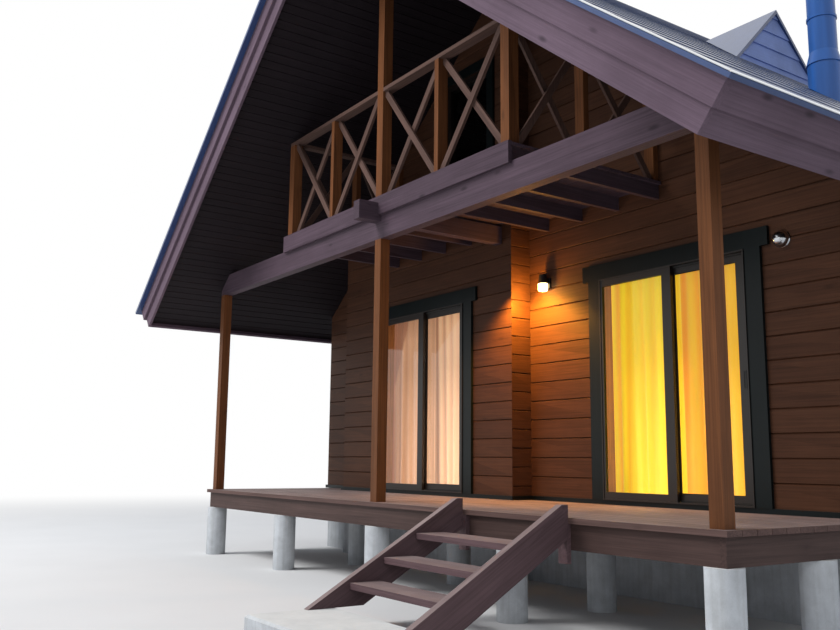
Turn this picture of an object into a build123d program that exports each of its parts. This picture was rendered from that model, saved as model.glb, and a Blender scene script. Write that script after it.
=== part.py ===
"""Log cabin with a gable roof, a front deck, a balcony in the gable and sliding terrace doors.

Millimetres. X runs to the right along the front, Y into the house, Z up. The origin is on the ground,
under the ridge and on the centre line of the front posts.
"""
import os
from math import atan, cos, sin

from build123d import *

# Deck
DECK_TOP = 800.0
DECK_INSET = 145.0
DECK_FRONT = 107.0
DECK_BOARD_THICK = 38.0
DECK_BOARD_WIDTH = 140.0
DECK_BOARD_GAP = 5.0
FASCIA_INSET = 36.0
FASCIA_THICK = 38.0
FASCIA_DEPTH = 181.0
DECK_JOIST_WIDTH = 45.0
DECK_JOIST_SPACING = 480.0
PIER_DIAMETER = 236.0
BACK_PIER_ROW = 950.0

# Shell
BODY_HALF = 4095.0
BODY_LENGTH = 7280.0
FRONT_WALL = 1731.0
BAY_STEP = 260.0
BAY_START = 887.0
BAY_WIDTH = 3412.0
LOG_THICK = 120.0
COURSE = 192.0
GROOVE_DEPTH = 12.0
GROOVE_HALF = 8.0
SILL_HEIGHT = 42.0
SILL_PROUD = 22.0
FOUNDATION_WALL = 150.0
FOUNDATION_INSET = 12.0
FLOOR_THICK = 150.0

# Roof
PITCH = 0.8
EAVE_SOFFIT = 3214.4
ROOF_THICK = 312.0
COVERING_THICK = 43.0
EAVE_REACH = 736.0
ROOF_FRONT = 866.0
BACK_OVERHANG = 600.0
BOARD_THICK = 30.0
LOWER_BOARD_DROP = 53.0
UPPER_BOARD_HEIGHT = 165.0
DRIP = 62.0
RIDGE_CAP_WIDTH = 150.0
RIDGE_CAP_THICK = 10.0
RIDGE_JOINT = 1.0

# Porch frame and balcony
POST = 105.0
POST_INSET = 110.0
HEADER_BOTTOM = 3313.0
HEADER_DEPTH = 252.0
JOIST_DEPTH = 130.0
JOIST_WIDTH = 45.0
JOIST_SPACING = 489.0
JOISTS_A_SIDE = 4
BALCONY_BOARD = 30.0
BALCONY_HALF = 2010.0
RIM_THICK = 38.0
RIM_LAP = 22.0
RIM_RISE = 6.0
GIRDER_DEPTH = 184.0
GIRDER_NOTCH = 83.0
GIRDER_REACH = 250.0
RAIL_HEIGHT = 1133.0
RAIL_THICK = 38.0
RAIL_WIDTH = 90.0
RAIL_POST_X = 1925.0
SIDE_POST_Y = 822.0
SLIM_POST = 60.0
BRACE_WIDTH = 62.0
BRACE_THICK = 28.0

# Stair
STAIR_LEFT = 1387.0
STAIR_WIDTH = 1260.0
STRINGER_THICK = 60.0
STRINGER_DROP = 264.0
STRINGER_RISE = 90.0
STRINGER_SHOULDER = 58.0
STAIR_SLOPE = 0.5757
STAIR_GOING = 291.0
STAIR_TREADS = 3
TREAD_RISE = 166.3
FIRST_NOSE = 453.0
TREAD_DEPTH = 258.0
TREAD_THICK = 45.0
SLAB_HEIGHT = 135.0
SLAB_DEPTH = 678.0
SLAB_FRONT = -1922.0
SLAB_MARGIN = 10.0
SLAB_CHAMFER = 18.0
CLEAT_WIDTH = 90.0
CLEAT_INSET = 13.0
CLEAT_BOTTOM = 488.0

# Sliding doors
DOOR_WIDTH = 1622.0
DOOR_HEIGHT = 2084.0
LEFT_DOOR_OFFSET = 1805.0
RIGHT_DOOR_OFFSET = 2044.0
JAMB = 12.0
FRAME_PROUD = 40.0
BEAD = 25.0
MEETING_STILE = 100.0
LEAF_THICK = 34.0
LEAF_STILE = 95.0
LEAF_RAIL = 62.0
LEAF_GAP = 6.0
TRACK_START = 6.0
TRACK_PITCH = 46.0
GLASS_THICK = 8.0
SHOE_LENGTH = 70.0
SHOE_WIDTH = 12.0
SEAT_GAP = 0.3
TRIM_WIDTH = 150.0
TRIM_THICK = 30.0
TRIM_HEIGHT = 154.0
TRIM_EAR = 75.0

# Windows and balcony door
WINDOW_WIDTH = 1200.0
WINDOW_COURSES = 5
WINDOW_SILL_COURSES = 5
GABLE_WINDOW_WIDTH = 900.0
SIDE_WINDOW_OFFSET = 1700.0
BACK_WINDOW_OFFSET = 1900.0
GABLE_SILL = 900.0
GABLE_WINDOW_HEAD = 905.0
WINDOW_FRAME = 55.0
WINDOW_FRAME_DEPTH = 90.0
WINDOW_TRIM = 110.0
BALCONY_DOOR_OFFSET = 764.0
BALCONY_DOOR_WIDTH = 780.0
BALCONY_DOOR_HEAD = 915.0
BALCONY_DOOR_RAIL = 700.0

# Curtains
CURTAIN_THICK = 50.0
CURTAIN_OFFSET = 60.0
CURTAIN_LAP = 90.0
CURTAIN_FOOT = 30.0
CURTAIN_RAIL = 30.0
CURTAIN_RAIL_RISE = 60.0

# Dormer and flue
DORMER_INSET = 1767.0
DORMER_Y = 3131.0
DORMER_HEIGHT = 616.0
DORMER_WALL_THICK = 60.0
DORMER_OVERHANG = 30.0
DORMER_ROOF_THICK = 30.0
DORMER_RUN = 900.0
SIDING_EXPOSURE = 172.0
SIDING_START = 50.0
SIDING_LAP = 14.0
FLUE_INSET = 1005.0
FLUE_Y = 2682.0
FLUE_DIAMETER = 240.0
FLUE_TOP = 7200.0
BOOT_DIAMETER = 284.0
BOOT_HEIGHT = 282.0
COLLAR_DIAMETER = 304.0
COLLAR_HEIGHT = 120.0
PIPE_JOINT = 430.0
JOINT_RING = 8.0
RING_HEIGHT = 24.0
CAP_DIAMETER = 330.0
CAP_HEIGHT = 90.0

# Fittings
HOOD_OFFSET = 895.0
HOOD_Z = 2950.0
HOOD_DIAMETER = 147.0
HOOD_DEPTH = 80.0
HOOD_TAPER = 20.0
LAMP_OFFSET = 276.0
LAMP_Z = 3010.0
LAMP_PLATE = 110.0
LAMP_PLATE_THICK = 20.0
LAMP_DIAMETER = 120.0
LAMP_NECK = 76.0
LAMP_HEIGHT = 180.0
LAMP_BITE = 12.0

# Levels and places worked out from the sizes above
SLOPE = atan(PITCH)
SOFFIT_RIDGE = EAVE_SOFFIT + BODY_HALF * PITCH
RIDGE_TOP = SOFFIT_RIDGE + ROOF_THICK / cos(SLOPE)
ROOF_RUN = BODY_HALF / cos(SLOPE) + EAVE_REACH
WALL_BASE = DECK_TOP + SILL_HEIGHT
WALL_TOP = SOFFIT_RIDGE + COURSE
BAY_FACE = FRONT_WALL - BAY_STEP
BAY_LEFT = BAY_START - BODY_HALF
BAY_RIGHT = BAY_LEFT + BAY_WIDTH
BACK_FACE = FRONT_WALL + BODY_LENGTH
ROOF_BACK = BACK_FACE + BACK_OVERHANG
DECK_HALF = BODY_HALF - DECK_INSET
POST_SPACING = DECK_HALF - POST_INSET
FASCIA_TOP = DECK_TOP - DECK_BOARD_THICK
FASCIA_BOTTOM = FASCIA_TOP - FASCIA_DEPTH
FASCIA_FACE = FASCIA_INSET - DECK_FRONT
FASCIA_X = DECK_HALF - FASCIA_INSET
HALF_POST = POST / 2
HEADER_TOP = HEADER_BOTTOM + HEADER_DEPTH
JOIST_TOP = HEADER_TOP + JOIST_DEPTH
BALCONY_TOP = JOIST_TOP + BALCONY_BOARD
RAIL_TOP = BALCONY_TOP + RAIL_HEIGHT
RAIL_UNDER = RAIL_TOP - RAIL_THICK
GIRDER_BOTTOM = HEADER_TOP - GIRDER_NOTCH
GIRDER_TOP = GIRDER_BOTTOM + GIRDER_DEPTH
DOOR_TOP = WALL_BASE + DOOR_HEIGHT
LEFT_DOOR_X = BAY_LEFT + LEFT_DOOR_OFFSET
RIGHT_DOOR_X = BODY_HALF - RIGHT_DOOR_OFFSET
BALCONY_DOOR_X = BAY_RIGHT - BALCONY_DOOR_OFFSET
DORMER_FACE = BODY_HALF - DORMER_INSET
FLUE_X = BODY_HALF - FLUE_INSET
WINDOW_BOTTOM = WALL_BASE + WINDOW_SILL_COURSES * COURSE
WINDOW_TOP = WINDOW_BOTTOM + WINDOW_COURSES * COURSE
GABLE_WINDOW_BOTTOM = BALCONY_TOP + GABLE_SILL
GABLE_WINDOW_TOP = SOFFIT_RIDGE - GABLE_WINDOW_HEAD
BALCONY_DOOR_HEIGHT = SOFFIT_RIDGE - BALCONY_DOOR_HEAD - BALCONY_TOP
FRONT_JOINT = WALL_BASE + COURSE
SIDE_JOINT = WALL_BASE + COURSE / 2
REACH = 20000.0


def bar(x0, x1, y0, y1, z0, z1, mode=Mode.ADD):
    """Adds a straight piece between three pairs of faces to the part in hand."""
    with BuildSketch(Plane.XY.offset(z0)) as section:
        with Locations(((x0 + x1) / 2, (y0 + y1) / 2)):
            Rectangle(x1 - x0, y1 - y0)
    extrude(section.sketch, amount=z1 - z0, mode=mode)


def prism(points, z0, z1, mode=Mode.ADD):
    """Adds an upright piece with the given plan."""
    with BuildSketch(Plane.XY.offset(z0)) as plan:
        with BuildLine():
            Polyline(*points, close=True)
        make_face()
    extrude(plan.sketch, amount=z1 - z0, mode=mode)


def across(points, y0, y1, mode=Mode.ADD):
    """Adds a piece whose outline is drawn as seen from the front, from y0 back to y1."""
    with BuildSketch(Plane.XZ.offset(-y0)) as outline:
        with BuildLine():
            Polyline(*points, close=True)
        make_face()
    extrude(outline.sketch, amount=y0 - y1, mode=mode)


def along(points, x0, x1, mode=Mode.ADD):
    """Adds a piece whose outline is drawn as seen from the side, from x0 across to x1."""
    with BuildSketch(Plane.YZ.offset(x0)) as outline:
        with BuildLine():
            Polyline(*points, close=True)
        make_face()
    extrude(outline.sketch, amount=x1 - x0, mode=mode)


def slope_point(depth, run, side):
    """A point of one roof slope: a depth square below its top, a run down from the ridge."""
    x = run * cos(SLOPE) - depth * sin(SLOPE)
    return (side * x, RIDGE_TOP - run * sin(SLOPE) - depth * cos(SLOPE))


def ridge_point(depth, side):
    """The same level of the slope beside the ridge joint."""
    return (side * RIDGE_JOINT, RIDGE_TOP - depth / cos(SLOPE) - RIDGE_JOINT * PITCH)


def slope_band(top, bottom, run, side):
    """The outline of a layer of one roof slope, from the ridge down to a square-cut eave."""
    return [ridge_point(top, side), ridge_point(bottom, side), slope_point(bottom, run, side),
            slope_point(top, run, side)]


def eave_band(top, bottom, run, side):
    """The outline of a board along the eave, square to the slope, its outer face at a run."""
    inner = run - BOARD_THICK
    return [slope_point(top, inner, side), slope_point(bottom, inner, side),
            slope_point(bottom, run, side), slope_point(top, run, side)]


def trim_under_roof():
    """Keeps only what lies below the boarded underside of the roof."""
    low = SOFFIT_RIDGE - PITCH * REACH
    across([(-REACH, low), (0, SOFFIT_RIDGE), (REACH, low), (REACH, -REACH), (-REACH, -REACH)],
           -REACH, REACH, mode=Mode.INTERSECT)


def trim_above_slope():
    """Keeps only what lies above the covering of the right slope."""
    across([(-REACH, RIDGE_TOP + PITCH * REACH), (REACH, RIDGE_TOP - PITCH * REACH), (REACH, 2 * REACH),
            (-REACH, 2 * REACH)], -REACH, REACH, mode=Mode.INTERSECT)


def log_outline(face, inward, first_joint):
    """The cross-section of a log wall, with a V groove on both faces at each joint."""
    joints = []
    level = first_joint
    while level < WALL_TOP - GROOVE_HALF:
        joints.append(level)
        level += COURSE
    back = face + inward * LOG_THICK
    points = [(face, WALL_BASE)]
    for z in joints:
        points += [(face, z - GROOVE_HALF), (face + inward * GROOVE_DEPTH, z), (face, z + GROOVE_HALF)]
    points += [(face, WALL_TOP), (back, WALL_TOP)]
    for z in reversed(joints):
        points += [(back, z + GROOVE_HALF), (back - inward * GROOVE_DEPTH, z), (back, z - GROOVE_HALF)]
    points.append((back, WALL_BASE))
    return points


def front_logs(plan, face, inward, z0, z1):
    """A length of front or back wall with a given plan, between two levels or up to the roof."""
    xs = [point[0] for point in plan]
    with BuildPart() as wall:
        along(log_outline(face, inward, FRONT_JOINT), min(xs), max(xs))
        prism(plan, z0, z1, mode=Mode.INTERSECT)
        trim_under_roof()
    return wall.part


def side_logs(plan, face, inward):
    """A wall that runs from front to back, its courses half a log lower, up to the roof."""
    ys = [point[1] for point in plan]
    with BuildPart() as wall:
        across(log_outline(face, inward, SIDE_JOINT), min(ys), max(ys))
        prism(plan, WALL_BASE, REACH, mode=Mode.INTERSECT)
        trim_under_roof()
    return wall.part


def inset_plan(d):
    """The plan of the house moved inward by a distance, or outward where it is negative."""
    return [
        (-BODY_HALF + d, FRONT_WALL + d), (BAY_LEFT + d, FRONT_WALL + d), (BAY_LEFT + d, BAY_FACE + d),
        (BAY_RIGHT - d, BAY_FACE + d), (BAY_RIGHT - d, FRONT_WALL + d), (BODY_HALF - d, FRONT_WALL + d),
        (BODY_HALF - d, BACK_FACE - d), (-BODY_HALF + d, BACK_FACE - d),
    ]


def front_ring(x0, x1, z0, z1, inner, y0, y1):
    """A frame in a front or back wall, as a band of a given width inside an opening."""
    bar(x0, x1, y0, y1, z0, z1)
    bar(x0 + inner, x1 - inner, y0, y1, z0 + inner, z1 - inner, mode=Mode.SUBTRACT)


def save(part, name):
    part.label = name
    export_step(part, "parts/" + name + ".step")


os.makedirs("parts", exist_ok=True)

# Foundation: a strip of concrete under the outer walls
with BuildPart() as foundation:
    prism(inset_plan(FOUNDATION_INSET), 0, DECK_TOP)
    prism(inset_plan(FOUNDATION_INSET + FOUNDATION_WALL), 0, DECK_TOP, mode=Mode.SUBTRACT)
save(foundation.part, "foundation")

# Base sill with its proud weather edge
with BuildPart() as base_sill:
    prism(inset_plan(-SILL_PROUD), DECK_TOP, WALL_BASE)
    prism(inset_plan(LOG_THICK), DECK_TOP, WALL_BASE, mode=Mode.SUBTRACT)
save(base_sill.part, "base_sill")

# Floors: the ground floor on the foundation, and the loft floor at the balcony's level
with BuildPart() as floors:
    prism(inset_plan(FOUNDATION_INSET + FOUNDATION_WALL), WALL_BASE - FLOOR_THICK, WALL_BASE)
    prism(inset_plan(LOG_THICK), DECK_TOP, WALL_BASE)
    prism(inset_plan(LOG_THICK), BALCONY_TOP - FLOOR_THICK, BALCONY_TOP)
    trim_under_roof()
save(floors.part, "floors")

# Front walls, mitred at their outer corners
left_opening = (LEFT_DOOR_X - DOOR_WIDTH / 2, LEFT_DOOR_X + DOOR_WIDTH / 2)
right_opening = (RIGHT_DOOR_X - DOOR_WIDTH / 2, RIGHT_DOOR_X + DOOR_WIDTH / 2)
balcony_opening = (BALCONY_DOOR_X - BALCONY_DOOR_WIDTH / 2, BALCONY_DOOR_X + BALCONY_DOOR_WIDTH / 2)
bay_back = BAY_FACE + LOG_THICK
wall_back = FRONT_WALL + LOG_THICK
bay_left_plan = [(BAY_LEFT, BAY_FACE), (left_opening[0], BAY_FACE), (left_opening[0], bay_back),
                 (BAY_LEFT + LOG_THICK, bay_back)]
bay_right_plan = [(left_opening[1], BAY_FACE), (BAY_RIGHT, BAY_FACE), (BAY_RIGHT - LOG_THICK, bay_back),
                  (left_opening[1], bay_back)]
bay_plan = [(BAY_LEFT, BAY_FACE), (BAY_RIGHT, BAY_FACE), (BAY_RIGHT - LOG_THICK, bay_back),
            (BAY_LEFT + LOG_THICK, bay_back)]
recess_plan = [(-BODY_HALF, FRONT_WALL), (BAY_LEFT, FRONT_WALL), (BAY_LEFT, wall_back),
               (LOG_THICK - BODY_HALF, wall_back)]
middle_plan = [(BAY_RIGHT, FRONT_WALL), (right_opening[0], FRONT_WALL), (right_opening[0], wall_back),
               (BAY_RIGHT, wall_back)]
corner_plan = [(right_opening[1], FRONT_WALL), (BODY_HALF, FRONT_WALL),
               (BODY_HALF - LOG_THICK, wall_back), (right_opening[1], wall_back)]
right_plan = [(BAY_RIGHT, FRONT_WALL), (BODY_HALF, FRONT_WALL), (BODY_HALF - LOG_THICK, wall_back),
              (BAY_RIGHT, wall_back)]

with BuildPart() as front_walls_beside_doors:
    add(front_logs(bay_left_plan, BAY_FACE, 1, WALL_BASE, DOOR_TOP))
    add(front_logs(bay_right_plan, BAY_FACE, 1, WALL_BASE, DOOR_TOP))
    add(front_logs(recess_plan, FRONT_WALL, 1, WALL_BASE, WALL_TOP))
    add(front_logs(middle_plan, FRONT_WALL, 1, WALL_BASE, DOOR_TOP))
    add(front_logs(corner_plan, FRONT_WALL, 1, WALL_BASE, DOOR_TOP))
save(front_walls_beside_doors.part, "front_walls_beside_doors")

with BuildPart() as front_walls_over_doors:
    add(front_logs(bay_plan, BAY_FACE, 1, DOOR_TOP, WALL_TOP))
    bar(*balcony_opening, BAY_FACE, bay_back, BALCONY_TOP, BALCONY_TOP + BALCONY_DOOR_HEIGHT,
        mode=Mode.SUBTRACT)
    add(front_logs(right_plan, FRONT_WALL, 1, DOOR_TOP, WALL_TOP))
save(front_walls_over_doors.part, "front_walls_over_doors")

# Side walls with two windows each, and the returns of the bay
side_centre = (FRONT_WALL + BACK_FACE) / 2
side_windows = [side_centre - SIDE_WINDOW_OFFSET, side_centre + SIDE_WINDOW_OFFSET]
with BuildPart() as side_walls:
    for side in (-1, 1):
        outer = side * BODY_HALF
        inner = side * (BODY_HALF - LOG_THICK)
        add(side_logs([(outer, FRONT_WALL), (inner, wall_back), (inner, BACK_FACE - LOG_THICK),
                       (outer, BACK_FACE)], outer, -side))
        for y in side_windows:
            bar(min(outer, inner), max(outer, inner), y - WINDOW_WIDTH / 2, y + WINDOW_WIDTH / 2,
                WINDOW_BOTTOM, WINDOW_TOP, mode=Mode.SUBTRACT)
    for edge, inward in ((BAY_LEFT, 1), (BAY_RIGHT, -1)):
        inner = edge + inward * LOG_THICK
        add(side_logs([(edge, BAY_FACE), (inner, bay_back), (inner, wall_back), (edge, wall_back)],
                      edge, inward))
save(side_walls.part, "side_walls")

# Back wall with its gable: two windows below and one above
back_plan = [(-BODY_HALF, BACK_FACE), (LOG_THICK - BODY_HALF, BACK_FACE - LOG_THICK),
             (BODY_HALF - LOG_THICK, BACK_FACE - LOG_THICK), (BODY_HALF, BACK_FACE)]
back_windows = [
    (-BACK_WINDOW_OFFSET, WINDOW_WIDTH, WINDOW_BOTTOM, WINDOW_TOP),
    (BACK_WINDOW_OFFSET, WINDOW_WIDTH, WINDOW_BOTTOM, WINDOW_TOP),
    (0, GABLE_WINDOW_WIDTH, GABLE_WINDOW_BOTTOM, GABLE_WINDOW_TOP),
]
with BuildPart() as back_wall:
    add(front_logs(back_plan, BACK_FACE, -1, WALL_BASE, WALL_TOP))
    for x, width, z0, z1 in back_windows:
        bar(x - width / 2, x + width / 2, BACK_FACE - LOG_THICK, BACK_FACE, z0, z1, mode=Mode.SUBTRACT)
save(back_wall.part, "back_wall")

# Window frames, with the frame of the balcony door
frame_inset = (LOG_THICK - WINDOW_FRAME_DEPTH) / 2
with BuildPart() as window_frames:
    for x, width, z0, z1 in back_windows:
        front_ring(x - width / 2, x + width / 2, z0, z1, WINDOW_FRAME,
                   BACK_FACE - frame_inset - WINDOW_FRAME_DEPTH, BACK_FACE - frame_inset)
    for side in (-1, 1):
        near = side * (BODY_HALF - frame_inset)
        far = side * (BODY_HALF - frame_inset - WINDOW_FRAME_DEPTH)
        for y in side_windows:
            bar(min(near, far), max(near, far), y - WINDOW_WIDTH / 2, y + WINDOW_WIDTH / 2,
                WINDOW_BOTTOM, WINDOW_TOP)
            bar(min(near, far), max(near, far), y - WINDOW_WIDTH / 2 + WINDOW_FRAME,
                y + WINDOW_WIDTH / 2 - WINDOW_FRAME, WINDOW_BOTTOM + WINDOW_FRAME,
                WINDOW_TOP - WINDOW_FRAME, mode=Mode.SUBTRACT)
    front_ring(*balcony_opening, BALCONY_TOP, BALCONY_TOP + BALCONY_DOOR_HEIGHT, WINDOW_FRAME,
               BAY_FACE + frame_inset, BAY_FACE + frame_inset + WINDOW_FRAME_DEPTH)
    bar(balcony_opening[0] + WINDOW_FRAME, balcony_opening[1] - WINDOW_FRAME, BAY_FACE + frame_inset,
        BAY_FACE + frame_inset + WINDOW_FRAME_DEPTH, BALCONY_TOP + BALCONY_DOOR_RAIL,
        BALCONY_TOP + BALCONY_DOOR_RAIL + WINDOW_FRAME)
save(window_frames.part, "window_frames")

# Panes of the windows and of the balcony door
with BuildPart() as window_glass:
    for x, width, z0, z1 in back_windows:
        bar(x - width / 2 + WINDOW_FRAME, x + width / 2 - WINDOW_FRAME,
            BACK_FACE - (LOG_THICK + GLASS_THICK) / 2, BACK_FACE - (LOG_THICK - GLASS_THICK) / 2,
            z0 + WINDOW_FRAME, z1 - WINDOW_FRAME)
    for side in (-1, 1):
        middle = side * (BODY_HALF - LOG_THICK / 2)
        for y in side_windows:
            bar(middle - GLASS_THICK / 2, middle + GLASS_THICK / 2, y - WINDOW_WIDTH / 2 + WINDOW_FRAME,
                y + WINDOW_WIDTH / 2 - WINDOW_FRAME, WINDOW_BOTTOM + WINDOW_FRAME,
                WINDOW_TOP - WINDOW_FRAME)
    for z0, z1 in ((WINDOW_FRAME, BALCONY_DOOR_RAIL),
                   (BALCONY_DOOR_RAIL + WINDOW_FRAME, BALCONY_DOOR_HEIGHT - WINDOW_FRAME)):
        bar(balcony_opening[0] + WINDOW_FRAME, balcony_opening[1] - WINDOW_FRAME,
            BAY_FACE + (LOG_THICK - GLASS_THICK) / 2, BAY_FACE + (LOG_THICK + GLASS_THICK) / 2,
            BALCONY_TOP + z0, BALCONY_TOP + z1)
save(window_glass.part, "window_glass")

# Board trims around the openings, flat on the logs
with BuildPart() as opening_trims:
    for opening, face in ((left_opening, BAY_FACE), (right_opening, FRONT_WALL)):
        bar(opening[0] - TRIM_WIDTH, opening[1] + TRIM_WIDTH, face - TRIM_THICK, face, WALL_BASE, DOOR_TOP)
        bar(*opening, face - TRIM_THICK, face, WALL_BASE, DOOR_TOP, mode=Mode.SUBTRACT)
        bar(opening[0] - TRIM_WIDTH - TRIM_EAR, opening[1] + TRIM_WIDTH + TRIM_EAR, face - TRIM_THICK,
            face, DOOR_TOP, DOOR_TOP + TRIM_HEIGHT)
    for x, width, z0, z1 in back_windows:
        front_ring(x - width / 2 - WINDOW_TRIM, x + width / 2 + WINDOW_TRIM, z0 - WINDOW_TRIM,
                   z1 + WINDOW_TRIM, WINDOW_TRIM, BACK_FACE, BACK_FACE + TRIM_THICK)
    for side in (-1, 1):
        near = side * BODY_HALF
        far = side * (BODY_HALF + TRIM_THICK)
        for y in side_windows:
            bar(min(near, far), max(near, far), y - WINDOW_WIDTH / 2 - WINDOW_TRIM,
                y + WINDOW_WIDTH / 2 + WINDOW_TRIM, WINDOW_BOTTOM - WINDOW_TRIM, WINDOW_TOP + WINDOW_TRIM)
            bar(min(near, far), max(near, far), y - WINDOW_WIDTH / 2, y + WINDOW_WIDTH / 2,
                WINDOW_BOTTOM, WINDOW_TOP, mode=Mode.SUBTRACT)
    bar(balcony_opening[0] - WINDOW_TRIM, balcony_opening[1] + WINDOW_TRIM, BAY_FACE - TRIM_THICK,
        BAY_FACE, BALCONY_TOP, BALCONY_TOP + BALCONY_DOOR_HEIGHT + WINDOW_TRIM)
    bar(*balcony_opening, BAY_FACE - TRIM_THICK, BAY_FACE, BALCONY_TOP,
        BALCONY_TOP + BALCONY_DOOR_HEIGHT, mode=Mode.SUBTRACT)
    trim_under_roof()
save(opening_trims.part, "opening_trims")

# Frames of the two sliding doors: jambs, and heads and thresholds between them
door_places = (("left", left_opening, BAY_FACE, bay_back), ("right", right_opening, FRONT_WALL, wall_back))
leaf_width = (DOOR_WIDTH + MEETING_STILE) / 2 - JAMB - LEAF_GAP
leaf_bottom = WALL_BASE + JAMB + LEAF_GAP
leaf_top = DOOR_TOP - JAMB - LEAF_GAP
fixed_low = WALL_BASE + JAMB
fixed_high = DOOR_TOP - JAMB
glass_set = (LEAF_THICK - GLASS_THICK) / 2
with BuildPart() as door_jambs:
    for _, (x0, x1), face, back in door_places:
        for x in (x0, x1 - JAMB):
            bar(x, x + JAMB, face - FRAME_PROUD, back, WALL_BASE, DOOR_TOP)
save(door_jambs.part, "door_jambs")

with BuildPart() as door_heads_and_thresholds:
    for _, (x0, x1), face, back in door_places:
        for z in (WALL_BASE, fixed_high):
            bar(x0 + JAMB, x1 - JAMB, face - FRAME_PROUD, back, z, z + JAMB)
save(door_heads_and_thresholds.part, "door_heads_and_thresholds")

# The outer half of each door: a fixed pane in a slim sash with the meeting stile
with BuildPart() as fixed_sashes:
    for _, (x0, x1), face, _ in door_places:
        track = face - FRAME_PROUD + TRACK_START
        meeting = (x0 + x1 + MEETING_STILE) / 2
        bar(x0 + JAMB, meeting, track, track + LEAF_THICK, fixed_low, fixed_high)
        bar(x0 + JAMB + BEAD, meeting - MEETING_STILE, track, track + LEAF_THICK, fixed_low + LEAF_RAIL,
            fixed_high - LEAF_RAIL, mode=Mode.SUBTRACT)
save(fixed_sashes.part, "fixed_sashes")

with BuildPart() as fixed_panes:
    for _, (x0, x1), face, _ in door_places:
        pane = face - FRAME_PROUD + TRACK_START + glass_set
        bar(x0 + JAMB + BEAD, (x0 + x1 - MEETING_STILE) / 2, pane, pane + GLASS_THICK,
            fixed_low + LEAF_RAIL, fixed_high - LEAF_RAIL)
save(fixed_panes.part, "fixed_panes")

# Sliding leaves of the two doors, each on two shoes that run on the sill, and their panes
for door_name, (_, x1), face, _ in door_places:
    leaf_x0 = x1 - JAMB - LEAF_GAP - leaf_width
    leaf_x1 = leaf_x0 + leaf_width
    y0 = face - FRAME_PROUD + TRACK_START + TRACK_PITCH
    with BuildPart() as leaf:
        bar(leaf_x0, leaf_x1, y0, y0 + LEAF_THICK, leaf_bottom, leaf_top)
        bar(leaf_x0 + LEAF_STILE, leaf_x1 - LEAF_STILE, y0, y0 + LEAF_THICK, leaf_bottom + LEAF_RAIL,
            leaf_top - LEAF_RAIL, mode=Mode.SUBTRACT)
        for x in (leaf_x0 + LEAF_STILE, leaf_x1 - LEAF_STILE - SHOE_LENGTH):
            bar(x, x + SHOE_LENGTH, y0 + (LEAF_THICK - SHOE_WIDTH) / 2, y0 + (LEAF_THICK + SHOE_WIDTH) / 2,
                fixed_low + SEAT_GAP, leaf_bottom)
    save(leaf.part, door_name + "_leaf")
    with BuildPart() as leaf_pane:
        bar(leaf_x0 + LEAF_STILE, leaf_x1 - LEAF_STILE, y0 + glass_set, y0 + glass_set + GLASS_THICK,
            leaf_bottom + LEAF_RAIL, leaf_top - LEAF_RAIL)
    save(leaf_pane.part, door_name + "_leaf_glass")

# Curtain rails on the inside of the front walls, and the curtains under them
rail_bottom = DOOR_TOP + CURTAIN_RAIL_RISE
with BuildPart() as curtain_rails:
    for opening, face in ((left_opening, bay_back), (right_opening, wall_back)):
        bar(opening[0] - CURTAIN_LAP, opening[1] + CURTAIN_LAP, face,
            face + CURTAIN_OFFSET + CURTAIN_THICK, rail_bottom, rail_bottom + CURTAIN_RAIL)
save(curtain_rails.part, "curtain_rails")

with BuildPart() as curtains:
    for opening, face in ((left_opening, bay_back), (right_opening, wall_back)):
        bar(opening[0] - CURTAIN_LAP, opening[1] + CURTAIN_LAP, face + CURTAIN_OFFSET,
            face + CURTAIN_OFFSET + CURTAIN_THICK, WALL_BASE + CURTAIN_FOOT, rail_bottom - SEAT_GAP)
save(curtains.part, "curtains")

# Deck boards along the front, cut back round the house
with BuildPart() as deck_boards:
    y = -DECK_FRONT
    while y < FRONT_WALL:
        bar(-DECK_HALF, DECK_HALF, y, min(y + DECK_BOARD_WIDTH, FRONT_WALL + FOUNDATION_INSET),
            FASCIA_TOP, DECK_TOP)
        y += DECK_BOARD_WIDTH + DECK_BOARD_GAP
    prism(inset_plan(FOUNDATION_INSET), 0, DECK_TOP, mode=Mode.SUBTRACT)
save(deck_boards.part, "deck_boards")

# Deck fascia round the front and both ends
with BuildPart() as deck_fascia:
    bar(-FASCIA_X, FASCIA_X, FASCIA_FACE, FRONT_WALL + FOUNDATION_INSET, FASCIA_BOTTOM, FASCIA_TOP)
    bar(FASCIA_THICK - FASCIA_X, FASCIA_X - FASCIA_THICK, FASCIA_FACE + FASCIA_THICK,
        FRONT_WALL + FOUNDATION_INSET, FASCIA_BOTTOM, FASCIA_TOP, mode=Mode.SUBTRACT)
save(deck_fascia.part, "deck_fascia")

# Deck joists from the fascia back to the foundation
with BuildPart() as deck_joists:
    x = -POST_SPACING
    while x < POST_SPACING + DECK_JOIST_SPACING / 2:
        bar(x - DECK_JOIST_WIDTH / 2, x + DECK_JOIST_WIDTH / 2, FASCIA_FACE + FASCIA_THICK,
            FRONT_WALL + FOUNDATION_INSET, FASCIA_BOTTOM, FASCIA_TOP)
        x += DECK_JOIST_SPACING
    prism(inset_plan(FOUNDATION_INSET), 0, DECK_TOP, mode=Mode.SUBTRACT)
save(deck_joists.part, "deck_joists")

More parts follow.
